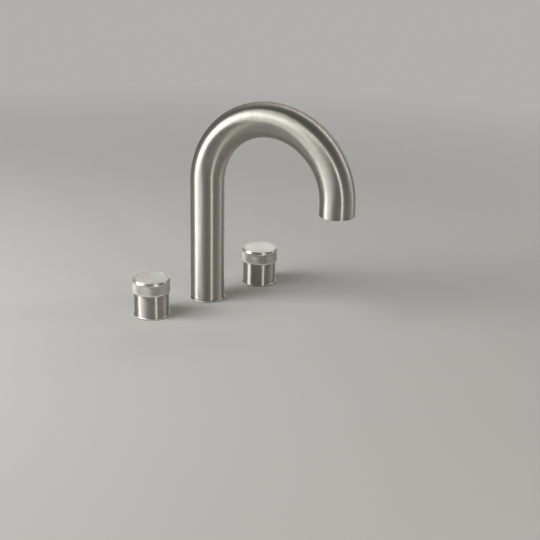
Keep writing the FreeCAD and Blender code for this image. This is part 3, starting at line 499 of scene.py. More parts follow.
class Slot(Enum):
    """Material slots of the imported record, and the finish of each."""

    BRUSHED = "brushed_steel", Finishes.STEEL
    KNURLED = "knurled_steel", Finishes.STEEL
    DISC = "disc_steel", Finishes.STEEL
    POLISHED = "polished_steel", Finishes.POLISHED
    BRASS = "brass", MachinedMetal("turned_brass", (0.78, 0.60, 0.30))
    PLATED = "plated_brass", MachinedMetal("nickel_plated_brass", (0.58, 0.565, 0.52))
    FASTENER = "fastener_steel", MachinedMetal("plated_steel", (0.56, 0.56, 0.55), roughness=0.34)
    BEARING = "bearing_plastic", MouldedPlastic("black_bearing_plastic", (0.035, 0.035, 0.037))
    CARTRIDGE = (
        "cartridge_plastic",
        MouldedPlastic("pale_cartridge_plastic", (0.82, 0.81, 0.77), roughness=0.36),
    )
    HOSE = (
        "hose_plastic",
        MouldedPlastic("milky_hose_plastic", (0.78, 0.80, 0.82), roughness=0.3, grain=900.0),
    )
    RUBBER = "rubber", MouldedRubber("black_rubber", (0.022, 0.022, 0.024))
    CERAMIC = "ceramic", GroundCeramic("lapped_ceramic", (0.88, 0.86, 0.81))
    MAGNET = "magnet", BondedMagnet("bonded_magnet", (0.07, 0.07, 0.08))
    BOARD = "board", PrintedBoard("lacquered_board", (0.02, 0.17, 0.07))
    RED = "red_lens", TintedLens("red_lamp_lens", (0.72, 0.07, 0.045))
    GREEN = "green_lens", TintedLens("green_lamp_lens", (0.10, 0.47, 0.10))
    LIGHT = "light", TintedLens("pale_light_lens", (0.9, 0.87, 0.74), glow=0.5)

    def __init__(self, label: str, finish: Finish) -> None:
        """Keeps the slot's name in the record and its finish."""
        self.label = label
        self.finish = finish


Coats = tuple[Finish, ...]


class Workpiece:
    """A mesh in the making, about its own vertical axis until it is set in place."""

    LEVEL: ClassVar[float] = 0.7
    EVENING: ClassVar[int] = 80

    def __init__(self, name: str) -> None:
        """Starts an empty mesh.

        Args:
            name: name of the finished piece.
        """
        self.name = name
        self.mesh = bmesh.new()
        self.lay = self.mesh.loops.layers.uv.new(LAY)
        self.groove = self.mesh.verts.layers.float.new(GROOVE)

    def turn(self, outline: Outline, facets: int) -> None:
        """Spins an outline round the axis.

        Args:
            outline: radius and height of each corner; it is closed unless it starts and ends on the axis.
            facets: facets of the full turn.
        """
        corners = [self.mesh.verts.new((radius, 0.0, height)) for radius, height in outline]
        following = corners[1:]
        if outline[0][0] > TINY or outline[-1][0] > TINY:
            following = following + corners[:1]
        edges = [self.mesh.edges.new(pair) for pair in zip(corners, following)]
        bmesh.ops.spin(
            self.mesh, geom=corners + edges, cent=ORIGIN, axis=UPRIGHT, angle=math.tau, steps=facets,
            use_merge=True,
        )
        self.close()

    def wind(self, section: list[Edge], turns: int, facets: int, pitch: float) -> None:
        """Winds a closed section up round the axis and caps its two ends.

        Args:
            section: edges of the section.
            turns: number of turns.
            facets: facets of one turn.
            pitch: rise of one turn.
        """
        wound = bmesh.ops.spin(
            self.mesh, geom=section, cent=ORIGIN, axis=UPRIGHT, dvec=(0.0, 0.0, pitch / facets),
            angle=math.tau * turns, steps=facets * turns,
        )
        for rim in (section, edges_of(wound["geom_last"])):
            bmesh.ops.contextual_create(self.mesh, geom=rim)
        self.close()

    def close(self) -> None:
        """Merges doubled corners and turns all faces outwards."""
        bmesh.ops.remove_doubles(self.mesh, verts=self.mesh.verts, dist=TINY)
        bmesh.ops.dissolve_degenerate(self.mesh, edges=self.mesh.edges, dist=TINY)
        bmesh.ops.recalc_face_normals(self.mesh, faces=self.mesh.faces)

    def soften(self, width: float, facets: int, least: float = 30.0) -> None:
        """Rounds the sharp edges.

        Args:
            width: how far the rounding reaches from the edge.
            facets: facets of the rounding.
            least: smallest angle between two faces, in degrees, that counts as sharp.
        """
        limit = math.radians(least)
        sharp = [edge for edge in self.mesh.edges if edge.calc_face_angle(0.0) > limit]
        bmesh.ops.bevel(
            self.mesh, geom=sharp, offset=width, offset_type="OFFSET", segments=facets, profile=0.5,
            affect="EDGES", clamp_overlap=True, material=-1,
        )

    def unwrap(self, radius: float) -> None:
        """Unwraps a turned piece, u along its outline and v round it, in metres.

        Args:
            radius: radius at which v is true to length.
        """
        for face in self.mesh.faces:
            level = abs(face.normal.z) > self.LEVEL
            middle = face.calc_center_median()
            facing = math.atan2(middle.y, middle.x)
            for loop in face.loops:
                spot = loop.vert.co
                reach = spot.xy.length
                bearing = math.atan2(spot.y, spot.x) if reach > TINY else facing
                bearing = facing + math.remainder(bearing - facing, math.tau)
                loop[self.lay].uv = (reach if level else spot.z, bearing * radius)

    def smooth(self, least: float = 50.0) -> None:
        """Shades every face round, but not across sharp edges.

        Args:
            least: smallest angle between two faces, in degrees, that counts as sharp.
        """
        for face in self.mesh.faces:
            face.smooth = True
        for edge in self.mesh.edges:
            edge.smooth = edge.calc_face_angle(0.0) < math.radians(least)

    def move(self, x: float, y: float = 0.0) -> None:
        """Sets the mesh on its place on the deck."""
        bmesh.ops.translate(self.mesh, verts=self.mesh.verts, vec=(x, y, 0.0))

    def hand_over(
        self, rider: Rider, slot: Slot, coats: Coats = (), stands_for: str = "",
        towards: tuple[Rider, Vector, Vector] | None = None,
    ) -> None:
        """Makes the mesh an object of the scene and ties it to its body, or leaves a piece that gives in
        place, tied to none.

        Args:
            rider: body that it moves with.
            slot: material slot that it belongs to.
            coats: finishes in the order of the faces' numbers, if it hasn't the slot's own.
            stands_for: node of the frame that it replaces, if any.
            towards: for a piece that gives, the body at its far end and the stretch where it goes over; only
                whether it is given is read, and such a piece is tied to no body.
        """
        data = bpy.data.meshes.new(self.name)
        self.mesh.to_mesh(data)
        self.mesh.free()
        for finish in coats or (slot.finish,):
            data.materials.append(finish.material())
        piece = add_object(data)
        even = piece.modifiers.new("even_normals", "WEIGHTED_NORMAL")
        even.keep_sharp = True
        even.weight = self.EVENING
        if towards:
            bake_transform(piece)
        else:
            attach(piece, rider.value)
        if stands_for:
            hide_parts(stands_for)
        LOG.info("%s: %d faces on %s", self.name, len(data.polygons), rider.value)


class Piece(ABC):
    """A piece that the scene adds to the frame."""

    @abstractmethod
    def build(self) -> None:
        """Makes the piece and ties it to the frame."""


@dataclass
class SpoutArch(Piece):
    """The bent tube from its foot over the bend to the outlet, and the hole of its set screw."""

    radius: float = 20.0 * MM
    wall: float = 1.5 * MM
    foot: float = 2.4 * MM
    rise: float = 144.5 * MM
    bend: float = 83.0 * MM
    mouth: float = 130.5 * MM
    rim: float = 0.45 * MM
    rim_facets: int = 3
    inside: float = 30.0 * MM
    bearing: float = -70.0
    screw_height: float = 18.0 * MM
    screw_hole: float = 2.6 * MM
    sides: int = 96
    bend_steps: int = 96

    HOLE_LEVELS: ClassVar[tuple[float, ...]] = (-2.2, -1.0, -0.5, 0.0, 0.5, 1.0, 2.2)

    def spot(self, along: float, across: float) -> Span:
        """Finds x and y of a place so far from the riser's axis along the arch and square to it."""
        place = Matrix.Rotation(math.radians(self.bearing), 2) @ Vector((along, across))
        return place.x, place.y

    def build(self) -> None:
        """Draws the tube up, over and down, and closes its wall at both ends."""
        work = Workpiece("spout_tube_skin")
        start = Matrix.Translation((0.0, 0.0, self.foot))
        bmesh.ops.create_circle(work.mesh, segments=self.sides, radius=self.radius, matrix=start)
        foot_rim = list(work.mesh.edges)
        front, height = foot_rim, self.foot
        levels = [self.screw_height + self.screw_hole * share for share in self.HOLE_LEVELS]
        for level in (*levels, self.rise):
            front = self.lengthen(work, front, level - height)
            height = level
        arch = bmesh.ops.spin(
            work.mesh, geom=front, cent=(self.bend, 0.0, self.rise), axis=(0.0, 1.0, 0.0), angle=math.pi,
            steps=self.bend_steps,
        )
        front = self.lengthen(work, edges_of(arch["geom_last"]), self.mouth - self.rise)
        self.line_wall(work, front, 2.0 * self.bend)
        self.line_wall(work, foot_rim, 0.0)
        work.close()
        work.soften(self.rim, self.rim_facets)
        self.drill_screw_hole(work)
        work.smooth()
        self.unwrap(work)
        turn = Matrix.Rotation(math.radians(self.bearing), 3, "Z")
        bmesh.ops.rotate(work.mesh, verts=work.mesh.verts, cent=ORIGIN, matrix=turn)
        work.hand_over(Rider.SPOUT, Slot.BRUSHED, (Finishes.TUBE,), "spout_tube")

    @staticmethod
    def lengthen(work: Workpiece, rim: list[Edge], up: float, ahead: float = 0.0) -> list[Edge]:
        """Extrudes an open rim.

        Args:
            work: the mesh.
            rim: edges of the open end.
            up: how far it goes upwards.
            ahead: how far it goes towards the outlet.

        Returns:
            The edges of the new open end.
        """
        made = bmesh.ops.extrude_edge_only(work.mesh, edges=rim)["geom"]
        bmesh.ops.translate(work.mesh, verts=corners_of(made), vec=(ahead, 0.0, up))
        return edges_of(made)

    def line_wall(self, work: Workpiece, rim: list[Edge], x: float) -> None:
        """Turns an open end in by the wall and up inside the tube.

        Args:
            work: the mesh.
            rim: edges of the open end.
            x: where the axis of that end stands.
        """
        inner = self.lengthen(work, rim, 0.0)
        corners = list({corner for edge in inner for corner in edge.verts})
        share = (self.radius - self.wall) / self.radius
        axis = Matrix.Translation((-x, 0.0, 0.0))
        bmesh.ops.scale(work.mesh, verts=corners, vec=(share, share, 1.0), space=axis)
        self.lengthen(work, inner, self.inside)

    def drill_screw_hole(self, work: Workpiece) -> None:
        """Opens the round hole in the rear of the riser and gives it a wall.

        Args:
            work: the mesh, before the spout is turned.
        """
        half = self.screw_hole
        pitch = math.tau / self.sides * self.radius
        columns = max(2, round(half / pitch))
        side = (columns + 0.5) * pitch

        def offset(corner: Corner) -> Span:
            """Gives a corner's distance round the tube and up from the hole's middle."""
            behind = math.remainder(math.atan2(corner.co.y, corner.co.x) - math.pi, math.tau)
            return behind * self.radius, corner.co.z - self.screw_height

        def within(corner: Corner) -> bool:
            """Tells whether a corner lies on the hole's square."""
            across, up = map(abs, offset(corner))
            return corner.co.xy.length > self.radius - TINY and across < side and up < half + TINY

        square = [face for face in work.mesh.faces if all(map(within, face.verts))]
        around = [edge for edge in work.mesh.edges if sum(face in square for face in edge.link_faces) == 1]
        bmesh.ops.delete(work.mesh, geom=square, context="FACES")
        for corner in {corner for edge in around for corner in edge.verts}:
            across, up = offset(corner)
            share = half / math.hypot(across, up)
            bearing = math.pi + across * share / self.radius
            height = self.screw_height + up * share
            corner.co = (self.radius * math.cos(bearing), self.radius * math.sin(bearing), height)
        self.lengthen(work, around, 0.0, self.wall)
        bmesh.ops.recalc_face_normals(work.mesh, faces=work.mesh.faces)

    def station(self, spot: Vector) -> Span:
        """Finds where a point lies on the tube.

        Args:
            spot: the point, before the spout is turned.

        Returns:
            Its length along the tube and its angle round it.
        """
        x, z = spot.x - self.bend, spot.z - self.rise
        if z > 0.0:
            reach, length = math.hypot(x, z), self.rise + self.bend * math.atan2(z, -x)
        elif x < 0.0:
            reach, length = -x, spot.z
        else:
            reach, length = x, self.rise + self.bend * math.pi - z
        return length, math.atan2(spot.y, self.bend - reach)

    def unwrap(self, work: Workpiece) -> None:
        """Unwraps the tube, u along it and v round it, in metres.

        Args:
            work: the mesh, before the spout is turned.
        """
        for face in work.mesh.faces:
            facing = self.station(face.calc_center_median())[1]
            for loop in face.loops:
                length, bearing = self.station(loop.vert.co)
                bearing = facing + math.remainder(bearing - facing, math.tau)
                loop[work.lay].uv = (length, bearing * self.radius)


@dataclass(kw_only=True)
class TurnedPiece(Piece):
    """A piece turned from one outline about an upright axis, which stands for a node of the frame.

    Its edge is the width of the rounding on its sharp edges. Without coats it has its slot's own finish.
    """

    name: str
    stands_for: str = ""
    x: float
    y: float = 0.0
    rider: Rider = Rider.DECK
    slot: Slot
    radius: float
    facets: int = 128
    edge: float = 0.0
    edge_facets: int = 2
    edge_least: float = 30.0
    surface: str
    coats: Coats = ()

    @abstractmethod
    def outline(self) -> Outline:
        """Gives the half section, as radius and height of each corner."""

    def build(self) -> None:
        """Turns the piece, softens its edges, sets it on its place and ties it to its body."""
        work = Workpiece(f"{self.name}_{self.surface}")
        work.turn(self.outline(), self.facets)
        if self.edge:
            work.soften(self.edge, self.edge_facets, self.edge_least)
        work.smooth()
        work.unwrap(self.radius)
        self.detail(work)
        work.move(self.x, self.y)
        work.hand_over(self.rider, self.slot, self.coats, self.stands_for or self.name)

    def detail(self, work: Workpiece) -> None:
        """Adds what turning alone can't make, which is nothing on a plain piece."""


@dataclass(kw_only=True)
class FootRing(TurnedPiece):
    """Polished ring between the deck and a column, with the groove of its seal."""

    slot: Slot = Slot.POLISHED
    radius: float = 21.0 * MM
    edge: float = 0.12 * MM
    bore: float = 16.3 * MM
    height: float = 2.0 * MM
    chamfer: float = 0.4 * MM
    seal_inner: float = 17.5 * MM
    seal_outer: float = 19.8 * MM
    seal_depth: float = 1.0 * MM
    surface: str = "polished"

    def outline(self) -> Outline:
        """Gives the half section of the ring.

        Returns:
            Radius and height of each corner.
        """
        seal = [(self.seal_inner, 0.0), (self.seal_inner, self.seal_depth)]
        seal += [(self.seal_outer, self.seal_depth), (self.seal_outer, 0.0)]
        rim = [(self.radius, 0.0), (self.radius, self.height - self.chamfer)]
        top = [(self.radius - self.chamfer, self.height), (self.bore, self.height)]
        return [(self.bore, 0.0), *seal, *rim, *top]


@dataclass(kw_only=True)
class Sleeve(TurnedPiece):
    """Brushed cylinder below a control's turning ring."""

    slot: Slot = Slot.BRUSHED
    radius: float = 20.0 * MM
    edge: float = 0.25 * MM
    wall: float = 1.5 * MM
    low: float = 2.0 * MM
    high: float = 28.0 * MM
    surface: str = "brushed"
    coats: Coats = (Finishes.SLEEVE,)

    def outline(self) -> Outline:
        """Gives the half section of the wall."""
        bore = self.radius - self.wall
        return [(bore, self.low), (self.radius, self.low), (self.radius, self.high), (bore, self.high)]


@dataclass(kw_only=True)
class TurningRing(TurnedPiece):
    """Ring that the hand turns: knurled grip, polished bevel, flat land and a recess for the disc."""

    slot: Slot = Slot.KNURLED
    radius: float = 21.65 * MM
    facets: int = 180
    edge: float = 0.15 * MM
    edge_least: float = 20.0
    low: float = 28.6 * MM
    high: float = 44.8 * MM
    bevel_start: float = 42.2 * MM
    land_outer: float = 20.4 * MM
    recess: float = 18.8 * MM
    recess_floor: float = 40.8 * MM
    bore: float = 15.8 * MM
    skirt: float = 17.15 * MM
    skirt_end: float = 21.45 * MM
    clip_floor: float = 16.45 * MM
    clip_low: float = 21.9 * MM
    clip_high: float = 22.9 * MM
    lower_edge: float = 0.3 * MM
    band_low: float = 29.6 * MM
    rows: int = 16
    row_height: float = 0.75 * MM
    groove_depth: float = 0.34 * MM
    near: float = 0.1 * MM
    surface: str = "knurled"
    coats: Coats = (Finishes.DISC, Finishes.KNURL, Finishes.POLISHED)

    GRIP_COAT: ClassVar[int] = 1
    BEVEL_COAT: ClassVar[int] = 2

    def outline(self) -> Outline:
        """Gives the half section of the ring, with the rows of the grip among its corners.

        Returns:
            Radius and height of each corner.
        """
        grip = [(self.radius, self.band_low + self.row_height * row) for row in range(self.rows + 1)]
        skirt = [(self.bore, self.skirt_end), (self.skirt, self.skirt_end), (self.skirt, self.clip_low)]
        clip = [(self.clip_floor, self.clip_low), (self.clip_floor, self.clip_high)]
        clip += [(self.skirt, self.clip_high)]
        foot = [(self.skirt, self.low), (self.radius - self.lower_edge, self.low)]
        foot += [(self.radius, self.low + self.lower_edge)]
        top = [(self.radius, self.bevel_start), (self.land_outer, self.high), (self.recess, self.high)]
        floor = [(self.recess, self.recess_floor), (self.bore, self.recess_floor)]
        return [*skirt, *clip, *foot, *grip, *top, *floor]

    def detail(self, work: Workpiece) -> None:
        """Gives grip and bevel their own finishes and presses the grip.

        Args:
            work: the turned mesh, still on the axis.
        """
        for face in work.mesh.faces:
            spot = face.calc_center_median()
            reach = spot.xy.length
            if spot.z >= self.bevel_start and reach > self.recess - self.near:
                face.material_index = self.BEVEL_COAT
            elif reach > self.radius - self.near and self.low < spot.z < self.bevel_start:
                face.material_index = self.GRIP_COAT
        self.press_grip(work)

    def press_grip(self, work: Workpiece) -> None:
        """Sinks every other corner of the grip, so that crossed grooves leave small points.

        Args:
            work: the turned mesh, still on the axis.
        """
        for corner in work.mesh.verts:
            reach = corner.co.xy.length
            row = (corner.co.z - self.band_low) / self.row_height
            if reach < self.radius - self.near or not 0.5 < row < self.rows - 0.5:
                continue
            column = round(math.atan2(corner.co.y, corner.co.x) / math.tau * self.facets)
            if (column + round(row)) % 2:
                corner.co.xy *= (reach - self.groove_depth) / reach
                corner[work.groove] = 1.0
        for face in list(work.mesh.faces):
            low = [corner for corner in face.verts if corner[work.groove]]
            face.smooth = not low
            if len(face.verts) == 4 and len(low) == 2:
                bmesh.utils.face_split(face, *low)


@dataclass(kw_only=True)
class TopDisc(TurnedPiece):
    """Satin disc in the recess of a turning ring, with its boss below and the boss's screw hole, if any."""

    slot: Slot = Slot.DISC
    radius: float = 18.6 * MM
    edge: float = 0.22 * MM
    edge_facets: int = 3
    low: float = 42.6 * MM
    high: float = 44.8 * MM
    boss: float
    boss_end: float
    hole: float = 0.0
    hole_end: float = 0.0
    surface: str = "satin"
    coats: Coats = (Finishes.DISC,)

    def outline(self) -> Outline:
        """Gives the half section of disc and boss.

        Returns:
            Radius and height of each corner.
        """
        below = [(0.0, self.boss_end)]
        if self.hole:
            below = [(0.0, self.hole_end), (self.hole, self.hole_end), (self.hole, self.boss_end)]
        rim = [(self.radius, self.low), (self.radius, self.high)]
        return [*below, (self.boss, self.boss_end), (self.boss, self.low), *rim, (0.0, self.high)]


@dataclass(kw_only=True)
class Lamp(TurnedPiece):
    """Small lamp lens in the touch disc, crowned a little above it."""

    rider: Rider = Rider.BUTTON
    radius: float = 1.55 * MM
    facets: int = 40
    low: float = 42.6 * MM
    high: float = 44.8 * MM
    crown: float = 0.18 * MM
    surface: str = "lens"

    DOME: ClassVar[tuple[float, ...]] = (1.0, 0.85, 0.6, 0.3, 0.0)

    def outline(self) -> Outline:
        """Gives the half section of the lens."""
        dome = [(self.radius * share, self.high + self.crown * (1.0 - share * share)) for share in self.DOME]
        return [(0.0, self.low), (self.radius, self.low), *dome]


@dataclass(kw_only=True)
class AeratorRing(TurnedPiece):
    """Polished ring round the outlet, screwed into the spout from below."""

    name: str = "aerator_ring"
    stands_for: str = "aerator_housing"
    rider: Rider = Rider.SPOUT
    slot: Slot = Slot.POLISHED
    radius: float = 13.5 * MM
    edge: float = 0.3 * MM
    edge_facets: int = 3
    opening: float = 8.75 * MM
    mouth: float = 131.0 * MM
    flange_end: float = 132.5 * MM
    thread: float = 12.0 * MM
    thread_end: float = 138.0 * MM
    seat: float = 10.6 * MM
    surface: str = "polished"

    def outline(self) -> Outline:
        """Gives the half section of the ring.

        Returns:
            Radius and height of each corner.
        """
        flange = [(self.opening, self.mouth), (self.radius, self.mouth), (self.radius, self.flange_end)]
        thread = [(self.thread, self.flange_end), (self.thread, self.thread_end)]
        thread += [(self.seat, self.thread_end)]
        return [*flange, *thread, (self.seat, self.flange_end), (self.opening, self.flange_end)]


@dataclass
class ReturnSpring(Piece):
    """Coil under the touch disc; the real coil closes up when the disc is pressed."""

    x: float
    radius: float = 8.5 * MM
    wire: float = 0.3 * MM
    low: float = 36.35 * MM
    high: float = 42.25 * MM
    turns: int = 4
    facets: int = 56
    sides: int = 14

    def build(self) -> None:
        """Winds the wire and leaves it in place, tied to no body, so its ends don't follow the guide or the
        disc.
        """
        work = Workpiece("touch_spring_coil")
        upright = Matrix.Translation((self.radius, 0.0, self.low)) @ Matrix.Rotation(math.pi / 2, 4, "X")
        bmesh.ops.create_circle(work.mesh, segments=self.sides, radius=self.wire, matrix=upright)
        work.wind(list(work.mesh.edges), self.turns, self.facets, (self.high - self.low) / self.turns)
        work.smooth()
        work.unwrap(self.radius)
        work.move(self.x)
        start, end = (Vector((self.x, 0.0, z)) for z in (self.low + self.wire, self.high - self.wire))
        towards = (Rider.BUTTON, start, end)
        work.hand_over(Rider.DECK, Slot.FASTENER, stands_for="touch_spring", towards=towards)


@dataclass
class BackNuts(Piece):
    """Hexagon nuts that draw the three shanks down under the deck."""

    places: tuple[float, ...]
    bore: float = 16.05 * MM
    across: float = 41.0 * MM
    low: float = -43.0 * MM
    high: float = -35.0 * MM
    face: float = 19.6 * MM
    slope: float = 30.0
    entry: float = 0.5 * MM
    spare: float = 0.2 * MM
    facets: int = 144
    crease: float = 10.0

    FLATS: ClassVar[int] = 6

    def build(self) -> None:
        """Makes one nut, and a copy of it for each other shank."""
        work = Workpiece("backnuts_chamfered")
        self.mill(work)
        nut = [*work.mesh.verts, *work.mesh.edges, *work.mesh.faces]
        for x in self.places[1:]:
            copy = bmesh.ops.duplicate(work.mesh, geom=nut)["geom"]
            bmesh.ops.translate(work.mesh, verts=corners_of(copy), vec=(x - self.places[0], 0.0, 0.0))
        work.move(self.places[0])
        work.smooth(self.crease)
        work.hand_over(Rider.DECK, Slot.BRASS, stands_for="backnuts")

    def mill(self, work: Workpiece) -> None:
        """Turns a coned blank on the axis and mills its flats.

        Args:
            work: the empty mesh.
        """
        corner = self.across / math.sqrt(3.0) + self.spare
        drop = (corner - self.face) * math.tan(math.radians(self.slope))
        end = [(self.bore, self.entry), (self.bore + self.entry, 0.0), (self.face, 0.0), (corner, drop)]
        lower = [(reach, self.low + inset) for reach, inset in end]
        upper = [(reach, self.high - inset) for reach, inset in reversed(end)]
        work.turn(lower + upper, self.facets)
        for flat in range(self.FLATS):
            turn = flat * math.tau / self.FLATS
            normal = Vector((math.sin(turn), math.cos(turn), 0.0))
            cut = bmesh.ops.bisect_plane(
                work.mesh, geom=[*work.mesh.verts, *work.mesh.edges, *work.mesh.faces], dist=TINY,
                plane_co=normal * (self.across / 2), plane_no=normal, clear_outer=True,
            )
            bmesh.ops.contextual_create(work.mesh, geom=edges_of(cut["geom_cut"]))
        work.close()
        work.unwrap(self.across / 2)


@dataclass
class ThreadRidge(Piece):
    """Running thread of a shank: a three-cornered ridge whose crest and width are shares of its pitch."""

    name: str
    x: float
    y: float = 0.0
    rider: Rider = Rider.DECK
    radius: float = 16.0 * MM
    low: float = -58.6 * MM
    turns: int = 28
    pitch: float = 2.0 * MM
    height: float = 0.3 * MM
    facets: int = 36
    sink: float = 0.05 * MM
    crest: float = 0.45
    width: float = 0.9

    def build(self) -> None:
        """Winds the ridge upwards."""
        work = Workpiece(self.name)
        foot, top = self.radius - self.sink, self.radius + self.height
        section = ((foot, 0.0), (top, self.pitch * self.crest), (foot, self.pitch * self.width))
        corners = [work.mesh.verts.new((reach, 0.0, self.low + rise)) for reach, rise in section]
        edges = [work.mesh.edges.new(pair) for pair in zip(corners, corners[1:] + corners[:1])]
        work.wind(edges, self.turns, self.facets, self.pitch)
        work.unwrap(self.radius)
        work.move(self.x, self.y)
        work.hand_over(self.rider, Slot.BRASS)


@dataclass
class TailThread(ThreadRidge):
    """Finer thread of the fitting on a hose's supply end."""

    rider: Rider = Rider.SPOUT
    radius: float = 5.0 * MM
    low: float = -83.6 * MM
    turns: int = 9
    pitch: float = 1.0 * MM
    height: float = 0.2 * MM


@dataclass
class Tap:
    """The tap's three columns on the deck, the frame's own nodes and the pieces added to them."""

    spout: float = 0.0
    touch: float = -83.0 * MM
    mixer: float = 83.0 * MM
    lamp_offset: float = 6.0 * MM
    mixed_tail: float = 8.0 * MM
    boiling_tail: float = -8.5 * MM

    @staticmethod
    def dress_nodes() -> None:
        """Puts each slot's finish in the nodes' own material slots."""
        finishes = {slot.label: slot.finish for slot in Slot}
        for name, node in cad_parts.items():
            for holder in node.material_slots:
                holder.material = finishes[holder.material.name.split(".")[0]].material()
            LOG.info("%s: %s", name, node.material_slots[0].material.name)

    def pieces(self) -> list[Piece]:
        """Lists the pieces in the order in which they are made.

        Returns:
            The pieces, not yet made.
        """
        arch = SpoutArch()
        outlet_x, outlet_y = arch.spot(2.0 * arch.bend, 0.0)
        touch, mixer = self.touch, self.mixer
        columns = {"spout": self.spout, "touch": touch, "mixer": mixer}
        return [
            arch,
            AeratorRing(x=outlet_x, y=outlet_y),
            *(FootRing(name=f"{name}_base_ring", x=x) for name, x in columns.items()),
            Sleeve(name="touch_sleeve", x=touch),
            Sleeve(name="mixer_sleeve", x=mixer),
            TurningRing(name="touch_ring", x=touch, rider=Rider.DIAL),
            TurningRing(name="mixer_ring", x=mixer, rider=Rider.KNOB),
            TopDisc(
                name="touch_disc", x=touch, rider=Rider.BUTTON, boss=3.65 * MM, boss_end=34.15 * MM,
                hole=1.3 * MM, hole_end=39.7 * MM,
            ),
            TopDisc(name="mixer_disc", x=mixer, rider=Rider.KNOB, boss=3.55 * MM, boss_end=41.5 * MM),
            Lamp(name="red_lamp", x=touch - self.lamp_offset, slot=Slot.RED),
            Lamp(name="green_lamp", x=touch + self.lamp_offset, slot=Slot.GREEN),
            ReturnSpring(touch),
            BackNuts(tuple(columns.values())),
            *(ThreadRidge(f"{name}_shank_thread", x) for name, x in columns.items()),
            TailThread("mixed_tail_thread", *arch.spot(0.0, self.mixed_tail)),
            TailThread("boiling_tail_thread", *arch.spot(0.0, self.boiling_tail)),
        ]


@dataclass(frozen=True)
class Softbox:
    """A soft rectangular lamp that stands round the tap and faces it."""

    name: str
    bearing: float
    distance: float
    height: float
    width: float
    tall: float
    glow: float
    colour: Colour = (1.0, 0.994, 0.982)

    def build(self, heading: float, target: Vector) -> None:
        """Sets the lamp up.

        Args:
            heading: direction from the tap to the camera in degrees; the bearing counts to its right.
            target: point that the lamp faces.
        """
        light = bpy.data.lights.new(self.name, "AREA")
        light.shape = "RECTANGLE"
        light.size, light.size_y = self.width, self.tall
        light.energy = self.glow * math.pi * self.width * self.tall
        light.color = self.colour
        turn = math.radians(heading + self.bearing)
        spot = Vector((math.cos(turn) * self.distance, math.sin(turn) * self.distance, self.height))
        lamp = add_object(light)
        lamp.matrix_world = Matrix.LocRotScale(spot, (target - spot).to_track_quat("-Z", "Y"), None)
        lamp.visible_camera = False
        LOG.info("lamp %s", self.name)


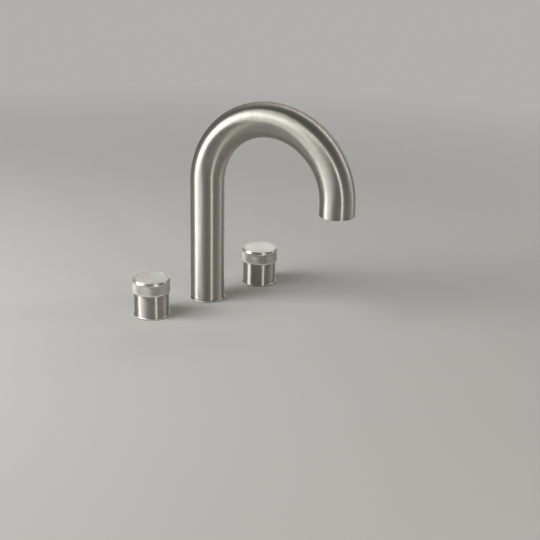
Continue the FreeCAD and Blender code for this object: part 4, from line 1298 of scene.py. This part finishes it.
@dataclass
class Studio:
    """Pale floor, soft light and the camera at the photograph's viewing angle."""

    heading: float = 42.461
    pitch: float = 20.655
    roll: float = 1.16
    lens: float = 77.57
    far: float = 100.0
    aside: float = 74.54 * MM
    back: float = 1298.78 * MM
    eye: float = 525.51 * MM
    floor_radius: float = 14.0
    floor_sides: int = 96
    floor_drop: float = 0.02 * MM
    floor_tone: Colour = (0.46, 0.456, 0.445)
    floor_cloud: float = 3.0
    cloud_share: float = 0.985
    fade: Span = (0.55, 1.25)
    room: float = 0.15
    room_tint: Colour = (1.0, 0.99, 0.97)
    horizon: float = 0.44
    horizon_height: float = 0.2
    aim: Triple = (0.02, -0.06, 0.09)
    lamps: tuple[Softbox, ...] = (
        Softbox("left_core", bearing=-79.0, distance=1.2, height=0.55, width=0.44, tall=1.0, glow=7.4),
        Softbox("left_middle", bearing=-72.0, distance=1.22, height=0.80, width=0.6, tall=1.3, glow=2.0),
        Softbox("left_high", bearing=-57.0, distance=1.15, height=1.35, width=0.7, tall=1.4, glow=4.8),
        Softbox(
            "right_strip", bearing=31.0, distance=1.3, height=0.36, width=0.06, tall=0.62, glow=28.0,
            colour=(1.0, 0.97, 0.86),
        ),
        Softbox(
            "right_panel", bearing=106.0, distance=1.15, height=0.85, width=0.3, tall=1.0, glow=3.8,
            colour=(1.0, 0.96, 0.88),
        ),
        Softbox("back_softbox", bearing=166.0, distance=1.6, height=0.66, width=1.5, tall=0.8, glow=1.05),
        Softbox("top_softbox", bearing=180.0, distance=0.9, height=2.0, width=2.0, tall=1.2, glow=0.3),
    )

    def build(self) -> None:
        """Sets up floor, light and camera."""
        self.lay_floor()
        self.fill_room()
        for lamp in self.lamps:
            lamp.build(-90.0 - self.heading, Vector(self.aim))
        self.set_camera()
        bpy.context.scene.view_settings.view_transform = "Standard"

    def lay_floor(self) -> None:
        """Lays a wide plain floor at deck height, which runs out into the room."""
        shape = bmesh.new()
        bmesh.ops.create_circle(shape, cap_ends=True, segments=self.floor_sides, radius=self.floor_radius)
        data = bpy.data.meshes.new("studio_floor")
        shape.to_mesh(data)
        shape.free()
        material = bpy.data.materials.new("pale_floor")
        graph = Graph(material)
        dark = shaded(self.floor_tone, self.cloud_share)
        colour = graph.ramp(graph.noise(self.floor_cloud, detail=3.0), dark, self.floor_tone)
        wire(graph.shader, {"Base Color": colour, "Roughness": 1.0, "Specular IOR Level": 0.0})
        away = graph.node("VectorMath", {"Vector": graph.place()}, operation="LENGTH").outputs["Value"]
        shaders = {1: graph.shader.outputs["BSDF"], 2: graph.node("BsdfTransparent").outputs["BSDF"]}
        blend = graph.node("MixShader", {"Fac": graph.span(away, (0.0, 1.0), self.fade), **shaders})
        wire(graph.tree.nodes["Material Output"], {"Surface": blend.outputs["Shader"]})
        data.materials.append(material)
        floor = add_object(data)
        floor.location.z = -self.floor_drop

    def fill_room(self) -> None:
        """Fills the room with light that is paler at the horizon, where the floor ends, than overhead."""
        world = bpy.data.worlds.new("studio_room")
        graph = Graph(world, "Background")
        outwards = graph.node("TexCoord").outputs["Generated"]
        height = graph.node("SeparateXYZ", {"Vector": outwards}).outputs["Z"]
        strength = graph.span(height, (self.horizon, self.room), (0.0, self.horizon_height))
        wire(graph.shader, {"Color": (*self.room_tint, 1.0), "Strength": strength})
        bpy.context.scene.world = world

    def set_camera(self) -> None:
        """Stands the camera where the photograph was taken from."""
        data = bpy.data.cameras.new("photo_camera")
        data.lens = self.lens
        data.clip_end = self.far
        camera = add_object(data)
        turn = Matrix.Rotation(-math.radians(self.heading), 4, "Z")
        stand = Matrix.Translation((self.aside, -self.back, self.eye))
        tilt = Matrix.Rotation(math.radians(90.0 - self.pitch), 4, "X")
        camera.matrix_world = turn @ stand @ tilt @ Matrix.Rotation(math.radians(self.roll), 4, "Z")
        bpy.context.scene.camera = camera


def main() -> None:
    """Builds the tap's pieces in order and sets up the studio."""
    logging.basicConfig(level=logging.INFO, format="%(name)s: %(message)s")
    tap = Tap()
    tap.dress_nodes()
    for piece in tap.pieces():
        piece.build()
    Studio().build()


if __name__ == "__main__":
    main()
